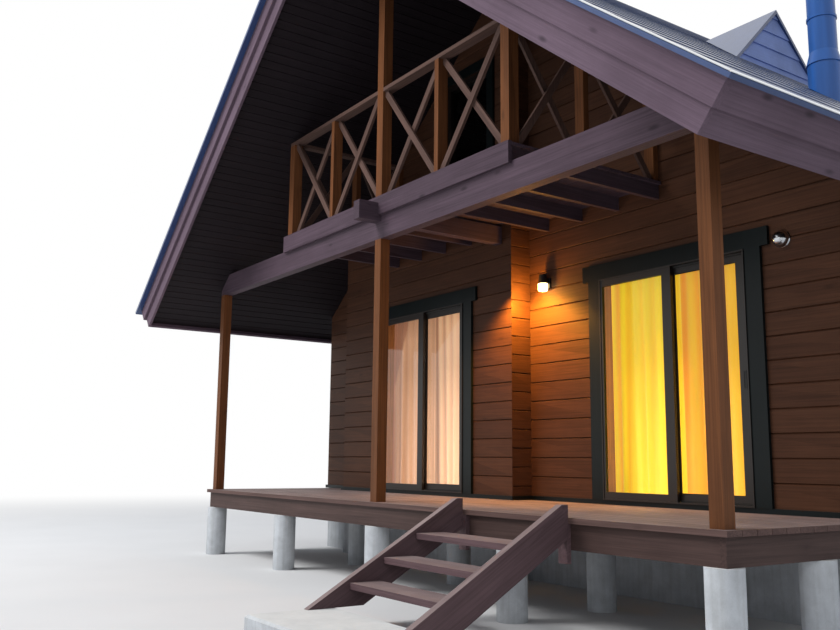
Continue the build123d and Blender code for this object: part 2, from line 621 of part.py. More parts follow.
# Concrete piers under the deck, and the stair's slab
slab_left = STAIR_LEFT - SLAB_MARGIN
slab_right = STAIR_LEFT + STAIR_WIDTH + SLAB_MARGIN
with BuildPart() as concrete_footings:
    with BuildSketch(Plane.XY) as pier_plan:
        for y in (0, BACK_PIER_ROW):
            for place in (-2, -1, 0, 1, 2):
                with Locations((place * POST_SPACING / 2, y)):
                    Circle(PIER_DIAMETER / 2)
    extrude(amount=FASCIA_BOTTOM)
    bar(slab_left, slab_right, SLAB_FRONT, SLAB_FRONT + SLAB_DEPTH, 0, SLAB_HEIGHT)
    level_faces = faces().filter_by(Plane.XY)
    slab_top = level_faces.filter_by_position(Axis.Z, SLAB_HEIGHT - SLAB_MARGIN, SLAB_HEIGHT + SLAB_MARGIN)
    chamfer(slab_top.edges(), SLAB_CHAMFER)
save(concrete_footings.part, "concrete_footings")

# Stair stringers with the cleats behind their heads
stair_right = STAIR_LEFT + STAIR_WIDTH
shoulder = -DECK_FRONT - STRINGER_SHOULDER
string_top = DECK_TOP + STRINGER_RISE
toe = shoulder - (string_top - SLAB_HEIGHT) / STAIR_SLOPE
heel = shoulder - (string_top - STRINGER_DROP - SLAB_HEIGHT) / STAIR_SLOPE
string_foot = string_top - STRINGER_DROP + STRINGER_SHOULDER * STAIR_SLOPE
stringer_outline = [(-DECK_FRONT, string_top), (shoulder, string_top), (toe, SLAB_HEIGHT),
                    (heel, SLAB_HEIGHT), (-DECK_FRONT, string_foot)]
with BuildPart() as stair_stringers:
    for x0 in (STAIR_LEFT, stair_right - STRINGER_THICK):
        along(stringer_outline, x0, x0 + STRINGER_THICK)
    for x0 in (STAIR_LEFT + CLEAT_INSET, stair_right - CLEAT_INSET - CLEAT_WIDTH):
        bar(x0, x0 + CLEAT_WIDTH, -DECK_FRONT, FASCIA_FACE, CLEAT_BOTTOM, FASCIA_TOP)
save(stair_stringers.part, "stair_stringers")

with BuildPart() as stair_treads:
    for step in range(STAIR_TREADS):
        nose = -DECK_FRONT - FIRST_NOSE - step * STAIR_GOING
        top = DECK_TOP - (step + 1) * TREAD_RISE
        bar(STAIR_LEFT + STRINGER_THICK, stair_right - STRINGER_THICK, nose, nose + TREAD_DEPTH,
            top - TREAD_THICK, top)
save(stair_treads.part, "stair_treads")

# Posts: three under the header, and those of the balcony with the king post up to the ridge
left_wall_post = BAY_FACE - SLIM_POST
right_wall_post = FRONT_WALL - SLIM_POST
with BuildPart() as posts:
    for x in (-POST_SPACING, 0, POST_SPACING):
        bar(x - HALF_POST, x + HALF_POST, -HALF_POST, HALF_POST, DECK_TOP, HEADER_BOTTOM)
    for side in (-1, 1):
        x = side * RAIL_POST_X
        bar(x - HALF_POST, x + HALF_POST, -HALF_POST, HALF_POST, BALCONY_TOP, RAIL_UNDER)
        slim = side * RAIL_POST_X / 2
        bar(slim - SLIM_POST / 2, slim + SLIM_POST / 2, -HALF_POST, HALF_POST, BALCONY_TOP, RAIL_UNDER)
        bar(x - HALF_POST, x + HALF_POST, SIDE_POST_Y - SLIM_POST / 2, SIDE_POST_Y + SLIM_POST / 2,
            BALCONY_TOP, RAIL_UNDER)
    bar(-RAIL_POST_X - HALF_POST, HALF_POST - RAIL_POST_X, left_wall_post, BAY_FACE, BALCONY_TOP, RAIL_UNDER)
    bar(RAIL_POST_X - HALF_POST, RAIL_POST_X + HALF_POST, right_wall_post, FRONT_WALL, BALCONY_TOP,
        RAIL_UNDER)
    bar(-HALF_POST, HALF_POST, -HALF_POST, HALF_POST, BALCONY_TOP, WALL_TOP)
    trim_under_roof()
save(posts.part, "posts")

# Header along the front posts, cut to the underside of the roof
with BuildPart() as header_beam:
    bar(-POST_SPACING - HALF_POST, POST_SPACING + HALF_POST, -HALF_POST, HALF_POST, HEADER_BOTTOM,
        HEADER_TOP)
    trim_under_roof()
save(header_beam.part, "header_beam")

# Balcony joists on the header, with the deeper girder under the ridge
with BuildPart() as balcony_joists:
    for place in range(1, JOISTS_A_SIDE + 1):
        for side in (-1, 1):
            x = side * place * JOIST_SPACING
            wall = FRONT_WALL if x > BAY_RIGHT else BAY_FACE
            bar(x - JOIST_WIDTH / 2, x + JOIST_WIDTH / 2, -HALF_POST, wall, HEADER_TOP, JOIST_TOP)
    bar(-HALF_POST, HALF_POST, -HALF_POST - GIRDER_REACH, BAY_FACE, GIRDER_BOTTOM, GIRDER_TOP)
    bar(-HALF_POST, HALF_POST, -HALF_POST, HALF_POST, GIRDER_BOTTOM, HEADER_TOP, mode=Mode.SUBTRACT)
save(balcony_joists.part, "balcony_joists")

with BuildPart() as balcony_floor:
    prism([(-BALCONY_HALF, -HALF_POST), (BALCONY_HALF, -HALF_POST), (BALCONY_HALF, FRONT_WALL),
           (BAY_RIGHT, FRONT_WALL), (BAY_RIGHT, BAY_FACE), (-BALCONY_HALF, BAY_FACE)],
          JOIST_TOP, BALCONY_TOP)
save(balcony_floor.part, "balcony_floor")

# Rim board in front of the joists, notched over the girder
with BuildPart() as rim_board:
    bar(-BALCONY_HALF, BALCONY_HALF, -HALF_POST - RIM_THICK, -HALF_POST, HEADER_TOP - RIM_LAP,
        BALCONY_TOP + RIM_RISE)
    bar(-HALF_POST, HALF_POST, -HALF_POST - RIM_THICK, -HALF_POST, HEADER_TOP - RIM_LAP, GIRDER_TOP,
        mode=Mode.SUBTRACT)
save(rim_board.part, "rim_board")

# Top rails of the balcony: two along the front and one down each side
rail_end = RAIL_POST_X + HALF_POST
side_rail = RAIL_WIDTH / 2
with BuildPart() as top_rails:
    for side, wall in ((-1, BAY_FACE), (1, FRONT_WALL)):
        bar(min(side * HALF_POST, side * rail_end), max(side * HALF_POST, side * rail_end),
            -HALF_POST, HALF_POST, RAIL_UNDER, RAIL_TOP)
        x = side * RAIL_POST_X
        bar(x - side_rail, x + side_rail, HALF_POST, wall, RAIL_UNDER, RAIL_TOP)
save(top_rails.part, "top_rails")

# Crossed braces of the balustrade: two boards a bay that lap at the middle
front_bays = [(-RAIL_POST_X + HALF_POST, -RAIL_POST_X / 2 - SLIM_POST / 2),
              (-RAIL_POST_X / 2 + SLIM_POST / 2, -HALF_POST),
              (HALF_POST, RAIL_POST_X / 2 - SLIM_POST / 2),
              (RAIL_POST_X / 2 + SLIM_POST / 2, RAIL_POST_X - HALF_POST)]
left_bays = [(HALF_POST, SIDE_POST_Y - SLIM_POST / 2), (SIDE_POST_Y + SLIM_POST / 2, left_wall_post)]
right_bays = [(HALF_POST, SIDE_POST_Y - SLIM_POST / 2), (SIDE_POST_Y + SLIM_POST / 2, right_wall_post)]


def brace_outline(a0, a1, rising):
    """The outline of one brace, corner to corner of its bay and cut to the bay's edges."""
    width = a1 - a0
    height = RAIL_UNDER - BALCONY_TOP
    length = (width ** 2 + height ** 2) ** 0.5
    dx = BRACE_WIDTH * length / height / 2
    dz = BRACE_WIDTH * length / width / 2
    low, high = BALCONY_TOP, RAIL_UNDER
    points = [(a0, low + dz), (a0, low), (a0 + dx, low), (a1, high - dz), (a1, high), (a1 - dx, high)]
    if rising:
        return points
    return [(a0 + a1 - a, z) for a, z in points]


def braces(layer):
    """One of the two layers of braces; the bays take turns to have a rising brace in front."""
    offset = -BRACE_THICK if layer == 0 else 0
    with BuildPart() as set_of_braces:
        for place, (x0, x1) in enumerate(front_bays):
            across(brace_outline(x0, x1, (place + layer) % 2 == 1), offset, offset + BRACE_THICK)
        for side, bays in ((-1, left_bays), (1, right_bays)):
            x0 = side * RAIL_POST_X + offset
            for place, (y0, y1) in enumerate(bays):
                along(brace_outline(y0, y1, (place + layer) % 2 == 1), x0, x0 + BRACE_THICK)
    return set_of_braces.part


save(braces(0), "rail_braces_outer")
save(braces(1), "rail_braces_inner")

# Roof: boarded slabs, covering, and a ridge cap over the joint
slab_front = 2 * BOARD_THICK - ROOF_FRONT
slab_back = ROOF_BACK - 2 * BOARD_THICK
lower_bottom = ROOF_THICK + LOWER_BOARD_DROP
upper_bottom = COVERING_THICK + UPPER_BOARD_HEIGHT
with BuildPart() as roof_slopes:
    for side in (-1, 1):
        across(slope_band(COVERING_THICK, ROOF_THICK, ROOF_RUN - 2 * BOARD_THICK, side), slab_front,
               slab_back)
save(roof_slopes.part, "roof_slopes")

with BuildPart() as roof_covering:
    for side in (-1, 1):
        across(slope_band(0, COVERING_THICK, ROOF_RUN + DRIP, side), -ROOF_FRONT - DRIP, ROOF_BACK + DRIP)
save(roof_covering.part, "roof_covering")

cap_rise = RIDGE_CAP_THICK / cos(SLOPE)
with BuildPart() as ridge_cap:
    across([(-RIDGE_CAP_WIDTH, RIDGE_TOP - RIDGE_CAP_WIDTH * PITCH), (0, RIDGE_TOP),
            (RIDGE_CAP_WIDTH, RIDGE_TOP - RIDGE_CAP_WIDTH * PITCH),
            (RIDGE_CAP_WIDTH, RIDGE_TOP - RIDGE_CAP_WIDTH * PITCH + cap_rise), (0, RIDGE_TOP + cap_rise),
            (-RIDGE_CAP_WIDTH, RIDGE_TOP - RIDGE_CAP_WIDTH * PITCH + cap_rise)],
           -ROOF_FRONT - DRIP, ROOF_BACK + DRIP)
save(ridge_cap.part, "ridge_cap")

# Board edges of the roof in two steps, round both gables and along the eaves
with BuildPart() as fascia_boards_lower:
    for side in (-1, 1):
        band = slope_band(COVERING_THICK, lower_bottom, ROOF_RUN - BOARD_THICK, side)
        across(band, slab_front - BOARD_THICK, slab_front)
        across(band, slab_back, slab_back + BOARD_THICK)
        across(eave_band(COVERING_THICK, lower_bottom, ROOF_RUN - BOARD_THICK, side), slab_front, slab_back)
save(fascia_boards_lower.part, "fascia_boards_lower")

with BuildPart() as fascia_boards_upper:
    for side in (-1, 1):
        band = slope_band(COVERING_THICK, upper_bottom, ROOF_RUN, side)
        across(band, -ROOF_FRONT, BOARD_THICK - ROOF_FRONT)
        across(band, ROOF_BACK - BOARD_THICK, ROOF_BACK)
        across(eave_band(COVERING_THICK, upper_bottom, ROOF_RUN, side), BOARD_THICK - ROOF_FRONT,
               ROOF_BACK - BOARD_THICK)
save(fascia_boards_upper.part, "fascia_boards_upper")

# Dormer: a triangular wall of lapped boards under two small slopes
dormer_base = RIDGE_TOP - PITCH * DORMER_FACE
dormer_top = dormer_base + DORMER_HEIGHT
wall_in = DORMER_FACE - DORMER_WALL_THICK
siding = [(wall_in, dormer_base - DORMER_HEIGHT)]
level = dormer_base + SIDING_START - SIDING_EXPOSURE
while level < dormer_top:
    siding += [(DORMER_FACE + SIDING_LAP, level), (DORMER_FACE, level + SIDING_EXPOSURE)]
    level += SIDING_EXPOSURE
siding.append((wall_in, level))
with BuildPart() as dormer_wall:
    across(siding, DORMER_Y - 2 * DORMER_HEIGHT, DORMER_Y + 2 * DORMER_HEIGHT)
    along([(DORMER_Y - 2 * DORMER_HEIGHT, dormer_top - 2 * DORMER_HEIGHT), (DORMER_Y, dormer_top),
           (DORMER_Y + 2 * DORMER_HEIGHT, dormer_top - 2 * DORMER_HEIGHT)], 0, REACH,
          mode=Mode.INTERSECT)
    trim_above_slope()
save(dormer_wall.part, "dormer_wall")

dormer_rise = DORMER_ROOF_THICK * 2 ** 0.5
with BuildPart() as dormer_roof:
    along([(DORMER_Y - 2 * DORMER_HEIGHT, dormer_top - 2 * DORMER_HEIGHT), (DORMER_Y, dormer_top),
           (DORMER_Y + 2 * DORMER_HEIGHT, dormer_top - 2 * DORMER_HEIGHT),
           (DORMER_Y + 2 * DORMER_HEIGHT, dormer_top - 2 * DORMER_HEIGHT + dormer_rise),
           (DORMER_Y, dormer_top + dormer_rise),
           (DORMER_Y - 2 * DORMER_HEIGHT, dormer_top - 2 * DORMER_HEIGHT + dormer_rise)],
          DORMER_FACE - DORMER_RUN, DORMER_FACE + DORMER_OVERHANG)
    trim_above_slope()
save(dormer_roof.part, "dormer_roof")

# Flue: a boot on the roof, a conical storm collar, the pipe with its joint ring and a rain cap
flue_base = RIDGE_TOP - PITCH * FLUE_X
boot_top = flue_base + BOOT_HEIGHT
collar_top = boot_top + COLLAR_HEIGHT
ring_bottom = boot_top + PIPE_JOINT
ring_top = ring_bottom + RING_HEIGHT
flue_outline = [
    (0, flue_base - BOOT_DIAMETER), (BOOT_DIAMETER / 2, flue_base - BOOT_DIAMETER),
    (BOOT_DIAMETER / 2, boot_top), (COLLAR_DIAMETER / 2, boot_top), (FLUE_DIAMETER / 2, collar_top),
    (FLUE_DIAMETER / 2, ring_bottom), (FLUE_DIAMETER / 2 + JOINT_RING, ring_bottom),
    (FLUE_DIAMETER / 2 + JOINT_RING, ring_top), (FLUE_DIAMETER / 2, ring_top),
    (FLUE_DIAMETER / 2, FLUE_TOP), (CAP_DIAMETER / 2, FLUE_TOP), (0, FLUE_TOP + CAP_HEIGHT),
]
with BuildPart() as flue:
    with BuildSketch(Plane.XZ.offset(-FLUE_Y)):
        with BuildLine():
            Polyline(*[(FLUE_X + radius, z) for radius, z in flue_outline], close=True)
        make_face()
    revolve(axis=Axis((FLUE_X, FLUE_Y, 0), (0, 0, 1)))
    trim_above_slope()
save(flue.part, "flue")

# Vent hood on the front wall, narrower towards its face
with BuildPart() as vent_hood:
    with BuildSketch(Plane.XZ.offset(-FRONT_WALL)):
        with Locations((BODY_HALF - HOOD_OFFSET, HOOD_Z)):
            Circle(HOOD_DIAMETER / 2)
    extrude(amount=HOOD_DEPTH, taper=HOOD_TAPER)
save(vent_hood.part, "vent_hood")

# Wall lamp: a plate and a shade that widens towards its foot
lamp_x = BAY_RIGHT + LAMP_OFFSET
lamp_y = FRONT_WALL - LAMP_PLATE_THICK - LAMP_DIAMETER / 2 + LAMP_BITE
with BuildPart() as wall_lamp:
    bar(lamp_x - LAMP_PLATE / 2, lamp_x + LAMP_PLATE / 2, FRONT_WALL - LAMP_PLATE_THICK, FRONT_WALL,
        LAMP_Z - LAMP_PLATE / 2, LAMP_Z + LAMP_PLATE / 2)
    for z, diameter in ((LAMP_Z - LAMP_HEIGHT / 2, LAMP_DIAMETER), (LAMP_Z + LAMP_HEIGHT / 2, LAMP_NECK)):
        with BuildSketch(Plane.XY.offset(z)):
            with Locations((lamp_x, lamp_y)):
                Circle(diameter / 2)
    loft()
save(wall_lamp.part, "wall_lamp")
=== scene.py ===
"""Looks of a timber log cabin: its boards, roof sheets, curtains, fittings and finishes.

Metres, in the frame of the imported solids. X runs to the right along the front, Y into the house, Z up.
"""

import math
import random

import bmesh
import bpy
from mathutils import Matrix, Vector


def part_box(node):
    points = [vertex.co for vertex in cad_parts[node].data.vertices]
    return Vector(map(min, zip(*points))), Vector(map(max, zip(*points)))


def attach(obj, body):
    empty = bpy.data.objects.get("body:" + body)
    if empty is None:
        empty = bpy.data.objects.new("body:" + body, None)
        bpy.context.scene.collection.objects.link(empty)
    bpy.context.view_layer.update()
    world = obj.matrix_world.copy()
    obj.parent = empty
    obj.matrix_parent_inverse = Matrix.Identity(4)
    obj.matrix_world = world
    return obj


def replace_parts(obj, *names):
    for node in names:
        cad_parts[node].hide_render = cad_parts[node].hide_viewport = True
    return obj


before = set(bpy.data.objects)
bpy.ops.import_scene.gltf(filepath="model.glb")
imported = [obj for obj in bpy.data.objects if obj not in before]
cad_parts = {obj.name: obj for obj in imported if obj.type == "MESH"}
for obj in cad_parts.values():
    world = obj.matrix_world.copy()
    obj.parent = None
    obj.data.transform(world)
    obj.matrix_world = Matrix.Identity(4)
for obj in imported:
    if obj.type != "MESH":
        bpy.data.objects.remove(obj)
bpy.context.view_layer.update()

bl_info = {
    "name": "Log Cabin Finishes",
    "version": (1, 1, 0),
    "blender": (4, 5, 0),
    "location": "3D View > Sidebar > Cabin",
    "description": "Dresses a log cabin with boards, roof sheets, curtains, fittings and their finishes",
    "category": "Object",
}

# Roof
PITCH = 0.8
SLOPE = math.atan(PITCH)
ROOF_LOW, ROOF_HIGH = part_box("roof_covering")
RIDGE_TOP = ROOF_HIGH.z + PITCH * 0.001
COVER_RUN = ROOF_HIGH.x / math.cos(SLOPE)
COVER_THICK = 0.043
SLAB_LOW, SLAB_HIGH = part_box("roof_slopes")
SLAB_THICK = 0.312
VERGE = 0.030
TRAY_GAP = 0.0005

# Walls, deck and stair
COURSE = 0.192
FRONT_START = 0.842
SIDE_START = 0.746
BAY_FACE = 1.471
BAY_RIGHT = 0.204
WALL_FACE = 1.731
STAIR_ANGLE = math.atan(0.5757)
TREADS = 3
RISE, GOING, TREAD_DEPTH = 0.1663, 0.291, 0.258
FASCIA_RETURN = 3.87
DECK_LOW, DECK_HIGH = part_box("deck_boards")
DECK_PITCH = 0.145
DECK_BOARD = 0.140
JOIST_PITCH = 0.480
JOIST_START = -3.840

# Balcony
BRACE_BAY = 0.9625
BRACE_ANGLE = math.radians(51)
SIDE_BRACES = 1.880

# Doorways: the inner faces of the jambs and the face of the wall
DOORWAYS = {"left": (-2.202, -0.604, BAY_FACE), "right": (1.252, 2.850, WALL_FACE)}
DOOR_FOOT, DOOR_HEAD = 0.854, 2.914
WALL_THICK = 0.120
SASH_OVER = 0.052
LEAF_FRONT, LEAF_BACK = 0.012, 0.046
FIT_GAP = 0.0003
PULL_INSET, PULL_HEIGHT = 0.048, 1.86

# Curtains, from the faces of the jambs and of the wall
CURTAIN_LOW, CURTAIN_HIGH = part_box("curtains")
CURTAIN_LAP = 0.098
CURTAIN_PLANE = 0.205
SEED = 7

# Photograph
PHOTO_WIDTH = 840
FOCAL_LENGTH = 909.0133
CAMERA_PLACE = (7.35307, -4.61577, 1.17724)
CAMERA_TURN = (55.4047, 9.1489, 0.5903)


def linear(code):
    """Turns an sRGB hex value into the linear colour that a shader takes."""
    parts = [int(code[i:i + 2], 16) / 255 for i in (1, 3, 5)]
    return tuple(c / 12.92 if c <= 0.04045 else ((c + 0.055) / 1.055) ** 2.4 for c in parts)


def per(size):
    """A texture's scale for features of a size in millimetres."""
    return 1000 / size


def colour(name, text, code):
    """A colour that a user can change, with its default as an sRGB hex value."""
    return bpy.props.FloatVectorProperty(name=name, description=text, subtype="COLOR", size=3,
                                         min=0, max=1, default=linear(code))


def length(name, text, value):
    """A length that a user can change, in metres."""
    return bpy.props.FloatProperty(name=name, description=text, default=value, min=0, unit="LENGTH")


class CABIN_PG_sizes(bpy.types.PropertyGroup):
    """Sizes of the boards, sheets and pleats"""

    sheet_step: length("Sheet step", "Run of roof sheet from one fold to the next", 0.36)
    step_height: length("Step height", "Height of the fold at the lower edge of each roof sheet", 0.007)
    bead: length("Edge bead", "Diameter of the rolled metal edge of the roof", 0.014)
    soffit_board: length("Soffit board", "Width of a board under the roof", 0.096)
    balcony_board: length("Balcony board", "Width of a board of the balcony floor", 0.12)
    board_gap: length("Board gap", "Gap between the boards of the balcony floor", 0.004)
    arris: length("Arris", "Width of the eased edges of sawn timber", 0.004)
    pleat: length("Pleat", "Distance between two pleats of a curtain", 0.15)
    screw: length("Screw", "Diameter of the heads of the deck screws", 0.009)


class CABIN_PG_colours(bpy.types.PropertyGroup):
    """Colours of the stains, paints, metals and cloth"""

    logs: colour("Logs", "Stain of the log walls", "#4f3324")
    posts: colour("Posts", "Stain of the posts", "#6e4529")
    rails: colour("Rails", "Stain of the balcony rails and braces", "#5f4a43")
    beams: colour("Beams", "Stain of header, joists and balcony boards", "#52444f")
    rakes: colour("Roof boards", "Stain of the board edges of the roof", "#675765")
    deck: colour("Deck", "Stain of the deck boards", "#634f4b")
    stair: colour("Stair", "Stain of the stringers and the treads", "#665256")
    # Darker than the boards' own stain: partly dark stain, partly painted shade under the roof
    soffit: colour("Soffit", "Stain of the boards under the roof", "#201a1f")
    green: colour("Trim paint", "Paint of the opening trims and the sill edge", "#0f1617")
    bronze: colour("Frame", "Finish of the door and window frames", "#1b1512")
    sheet: colour("Roof sheet", "Coating of the steel roof sheets", "#2c4370")
    siding: colour("Siding", "Paint of the lapped boards of the dormer", "#8599d0")
    # The flue's saturated blue is a painted reflection of the sky
    flue: colour("Flue", "Coating of the flue", "#21589f")
    concrete: colour("Concrete", "Cast concrete of piers, slab and foundation", "#d0d4d8")
    warm_cloth: colour("Right curtain", "Cloth behind the right door", "#f3d232")
    # The fold colours are painted shade in the curtains' folds
    warm_fold_shade: colour("Right folds", "Depth of the folds behind the right door", "#e8901e")
    cream_cloth: colour("Left curtain", "Cloth behind the left door", "#f0bc90")
    cream_fold_shade: colour("Left folds", "Depth of the folds behind the left door", "#a06c52")
    glow: colour("Lamp light", "Light of the wall lamp", "#ffae38")


def chosen(name):
    """A colour of the panel, as a shader takes it."""
    return tuple(getattr(bpy.context.scene.cabin_colours, name))


def sizes():
    """The sizes of the panel."""
    return bpy.context.scene.cabin_sizes


# Materials


def new_material(name):
    """An empty node material, its tree and the object's own coordinates in it."""
    material = bpy.data.materials.new(name)
    material.use_nodes = True
    tree = material.node_tree
    tree.nodes.clear()
    return material, tree, node(tree, "TexCoord").outputs["Object"]


def node(tree, kind, inputs=(), stops=(), **settings):
    """Adds a shader node with its settings, and sets or links its inputs by name or by order.

    An input that is given as a node takes that node's first output. Stops are a ramp's places and colours.
    """
    made = tree.nodes.new("ShaderNode" + kind)
    for key, value in settings.items():
        setattr(made, key, value)
    pairs = inputs.items() if isinstance(inputs, dict) else enumerate(inputs)
    for key, value in pairs:
        socket = made.inputs[key]
        if isinstance(value, bpy.types.Node):
            value = next(out for out in value.outputs if out.enabled)
        if isinstance(value, bpy.types.NodeSocket):
            tree.links.new(value, socket)
        elif socket.type == "RGBA" and len(value) == 3:
            socket.default_value = (*value, 1)
        else:
            socket.default_value = value
    for place, tone in stops[2:]:
        made.color_ramp.elements.new(place)
    for element, (place, tone) in zip(made.color_ramp.elements if stops else (), stops):
        element.position = place
        element.color = (*tone, 1)
    return made


def shade(tone, factor):
    """The same colour, lighter or darker."""
    return tuple(min(1.0, c * factor) for c in tone)


def grey(value):
    return (value, value, value)


def layered(tree, tone, *layers):
    """A tone under layers that darken or lighten it: each has its share, its source and its ramp's stops."""
    for share, source, stops in layers:
        layer = node(tree, "ValToRGB", [source], stops)
        tone = node(tree, "Mix", {0: share, 6: tone, 7: layer}, data_type="RGBA", blend_type="MULTIPLY")
    return tone


def finish(material, tone, rough, bump=None, depth=0.001, **constants):
    """Ends a material with its shader: constants are set on the shader's own sockets."""
    tree = material.node_tree
    inputs = {"Base Color": tone, "Roughness": rough}
    if bump is not None:
        inputs["Normal"] = node(tree, "Bump", {"Height": bump, "Distance": depth})
    for key, value in constants.items():
        inputs[key.replace("_", " ")] = value
    node(tree, "OutputMaterial", {"Surface": node(tree, "BsdfPrincipled", inputs)})
    return material


def lean(angle):
    """Directions along, across and square to a grain that falls to the right at an angle."""
    return (math.cos(angle), 0, -math.sin(angle)), (0, 1, 0), (math.sin(angle), 0, math.cos(angle))


GRAIN = {
    "x": ((1, 0, 0), (0, 1, 0), (0, 0, 1)),
    "y": ((0, 1, 0), (1, 0, 0), (0, 0, 1)),
    "z": ((0, 0, 1), (1, 0, 0), (0, 1, 0)),
    "slope": lean(SLOPE),
    "stair": ((0, math.cos(STAIR_ANGLE), math.sin(STAIR_ANGLE)), (1, 0, 0),
              (0, -math.sin(STAIR_ANGLE), math.cos(STAIR_ANGLE))),
    "falling": lean(BRACE_ANGLE),
    "rising": lean(-BRACE_ANGLE),
}

# Metres between the places in the pattern that two boards are cut from
BOARDS_APART = 37.0


def along_grain(tree, place, grain):
    """A place turned so that X runs along the grain."""
    return node(tree, "CombineXYZ", [
        node(tree, "VectorMath", [place, axis], operation="DOT_PRODUCT").outputs["Value"]
        for axis in GRAIN[grain]])


def grain_place(tree, place, grain):
    """A place with X along the boards' grain, also where one node holds boards of two ways."""
    if grain in ("x", "y", "z", "stair"):
        return along_grain(tree, place, grain)
    x, y, z = node(tree, "SeparateXYZ", [place]).outputs
    away = node(tree, "Math", [x], operation="ABSOLUTE")
    if grain == "roof edges":
        mirrored = node(tree, "CombineXYZ", [away, y, z])
        middle, half_run = (SLAB_LOW.y + SLAB_HIGH.y) / 2, (SLAB_HIGH.y - SLAB_LOW.y) / 2
        inside = node(tree, "Math", [y, middle, half_run + 0.0005], operation="COMPARE")
        ways = [inside, along_grain(tree, mirrored, "slope"), along_grain(tree, place, "y")]
    elif grain == "fascia":
        end = node(tree, "Math", [away, FASCIA_RETURN], operation="GREATER_THAN")
        ways = [end, along_grain(tree, place, "x"), along_grain(tree, place, "y")]
    else:
        bays = node(tree, "Math", [x, 2 * BRACE_BAY], operation="DIVIDE")
        half = node(tree, "Math", [node(tree, "Math", [bays], operation="FRACT"), 0.5],
                    operation="GREATER_THAN")
        first, second = ("falling", "rising") if grain == "outer braces" else ("rising", "falling")
        front = node(tree, "Mix", {0: half, 4: along_grain(tree, place, first),
                                   5: along_grain(tree, place, second)}, data_type="VECTOR")
        side = node(tree, "Math", [away, SIDE_BRACES], operation="GREATER_THAN")
        ways = [side, front.outputs[1], along_grain(tree, place, "z")]
    return node(tree, "Mix", {0: ways[0], 4: ways[1], 5: ways[2]}, data_type="VECTOR").outputs[1]


def timber(name, tone, grain, course_start=None, knots=0.55, contrast=1.0, rough=0.6, worn=0.25):
    """Sawn softwood under a brushed stain: bands along the grain, brown knots, each board its own tone.

    Fibres 1 mm wide are too fine to show, so they are drawn 2.4 mm wide. The worn share is how much paler
    faces turned up are: partly the stain faded by sun and feet, partly painted light from above. A wall of
    logs gives the level its courses start from.
    """
    material, tree, place = new_material(name)
    geometry = node(tree, "NewGeometry").outputs
    own = geometry["Random Per Island"]
    if course_start is not None:
        level = node(tree, "SeparateXYZ", [place]).outputs["Z"]
        lifted = node(tree, "Math", [level, course_start], operation="SUBTRACT")
        courses = node(tree, "Math", [lifted, COURSE], operation="DIVIDE")
        row = node(tree, "Math", [courses], operation="FLOOR")
        own = node(tree, "TexWhiteNoise", {"W": node(tree, "Math", [row, own])}, noise_dimensions="1D")
    shift = node(tree, "Math", [own, BOARDS_APART], operation="MULTIPLY")
    place = node(tree, "VectorMath", [grain_place(tree, place, grain),
                                      node(tree, "CombineXYZ", [shift, shift])])
    patches = node(tree, "TexNoise", {"Vector": place, "Scale": per(600), "Detail": 4.0, "Roughness": 0.6})
    bands, fibres, knot = (
        node(tree, kind, {"Vector": node(tree, "Mapping", {"Vector": place, "Scale": scales}),
                          "Scale": 1.0, **inputs})
        for kind, scales, inputs in (
            ("TexNoise", (per(900), per(15), per(15)), {"Detail": 3.0, "Roughness": 0.6, "Distortion": 0.3}),
            ("TexNoise", (per(160), per(2.4), per(2.4)), {"Detail": 2.0}),
            ("TexVoronoi", (per(420), per(150), per(150)), {})))
    dark, light_tone = shade(tone, 1 - 0.30 * contrast), shade(tone, 1 + 0.26 * contrast)
    tones = node(tree, "ValToRGB", [bands], [(0.28, dark), (0.74, light_tone), (0.5, shade(tone, 0.98))])
    mixed = layered(tree, tones, (0.7, fibres, [(0.3, (0.86, 0.85, 0.84)), (0.7, grey(1.0))]),
                    (0.75, patches, [(0.30, (0.78, 0.76, 0.76)), (0.70, (1.10, 1.09, 1.08))]),
                    (0.8, own, [(0.0, (0.82, 0.80, 0.80)), (1.0, (1.15, 1.14, 1.12))]))
    spot = node(tree, "MapRange", [knot.outputs["Distance"], 0.03, 0.17, knots, 0.0],
                interpolation_type="SMOOTHSTEP")
    kept = node(tree, "Math", [node(tree, "SeparateColor", [knot.outputs["Color"]]), 0.5],
                operation="GREATER_THAN")
    spot = node(tree, "Math", [spot, kept], operation="MULTIPLY")
    mixed = node(tree, "Mix", {0: spot, 6: mixed, 7: shade(tone, 0.34)}, data_type="RGBA")
    # Faces turned up are paler: partly the stain faded by sun and feet, partly painted light from above
    upward = node(tree, "SeparateXYZ", [geometry["Normal"]]).outputs["Z"]
    turned_up = node(tree, "MapRange", [upward, 0.55, 0.95, 0.0, worn], interpolation_type="SMOOTHSTEP")
    faded_and_lit = node(tree, "Math", [turned_up, patches], operation="MULTIPLY")
    mixed = node(tree, "Mix", {0: faded_and_lit, 6: mixed, 7: linear("#b9a7a3")}, data_type="RGBA")
    relief = node(tree, "Math", [bands, fibres])
    return finish(material, mixed, rough, relief, 0.0009, IOR=1.5, Specular_IOR_Level=0.2)


def painted_board(name, tone, grain, rough=0.5):
    """Sawn board under oil paint: an even colour, chalky in patches, with the grain just showing."""
    material, tree, place = new_material(name)
    place = grain_place(tree, place, grain)
    bands = node(tree, "TexNoise", {
        "Vector": node(tree, "Mapping", {"Vector": place, "Scale": (per(500), per(11), per(11))}),
        "Scale": 1.0, "Detail": 3.0})
    patches = node(tree, "TexNoise", {"Vector": place, "Scale": per(380), "Detail": 5.0, "Roughness": 0.65})
    body = node(tree, "ValToRGB", [patches], [(0.3, shade(tone, 0.84)), (0.7, shade(tone, 1.12))])
    mixed = layered(tree, body, (0.35, bands, [(0.3, grey(0.8)), (0.7, grey(1.05))]))
    return finish(material, mixed, rough, bands, 0.0006, IOR=1.5, Specular_IOR_Level=0.2)


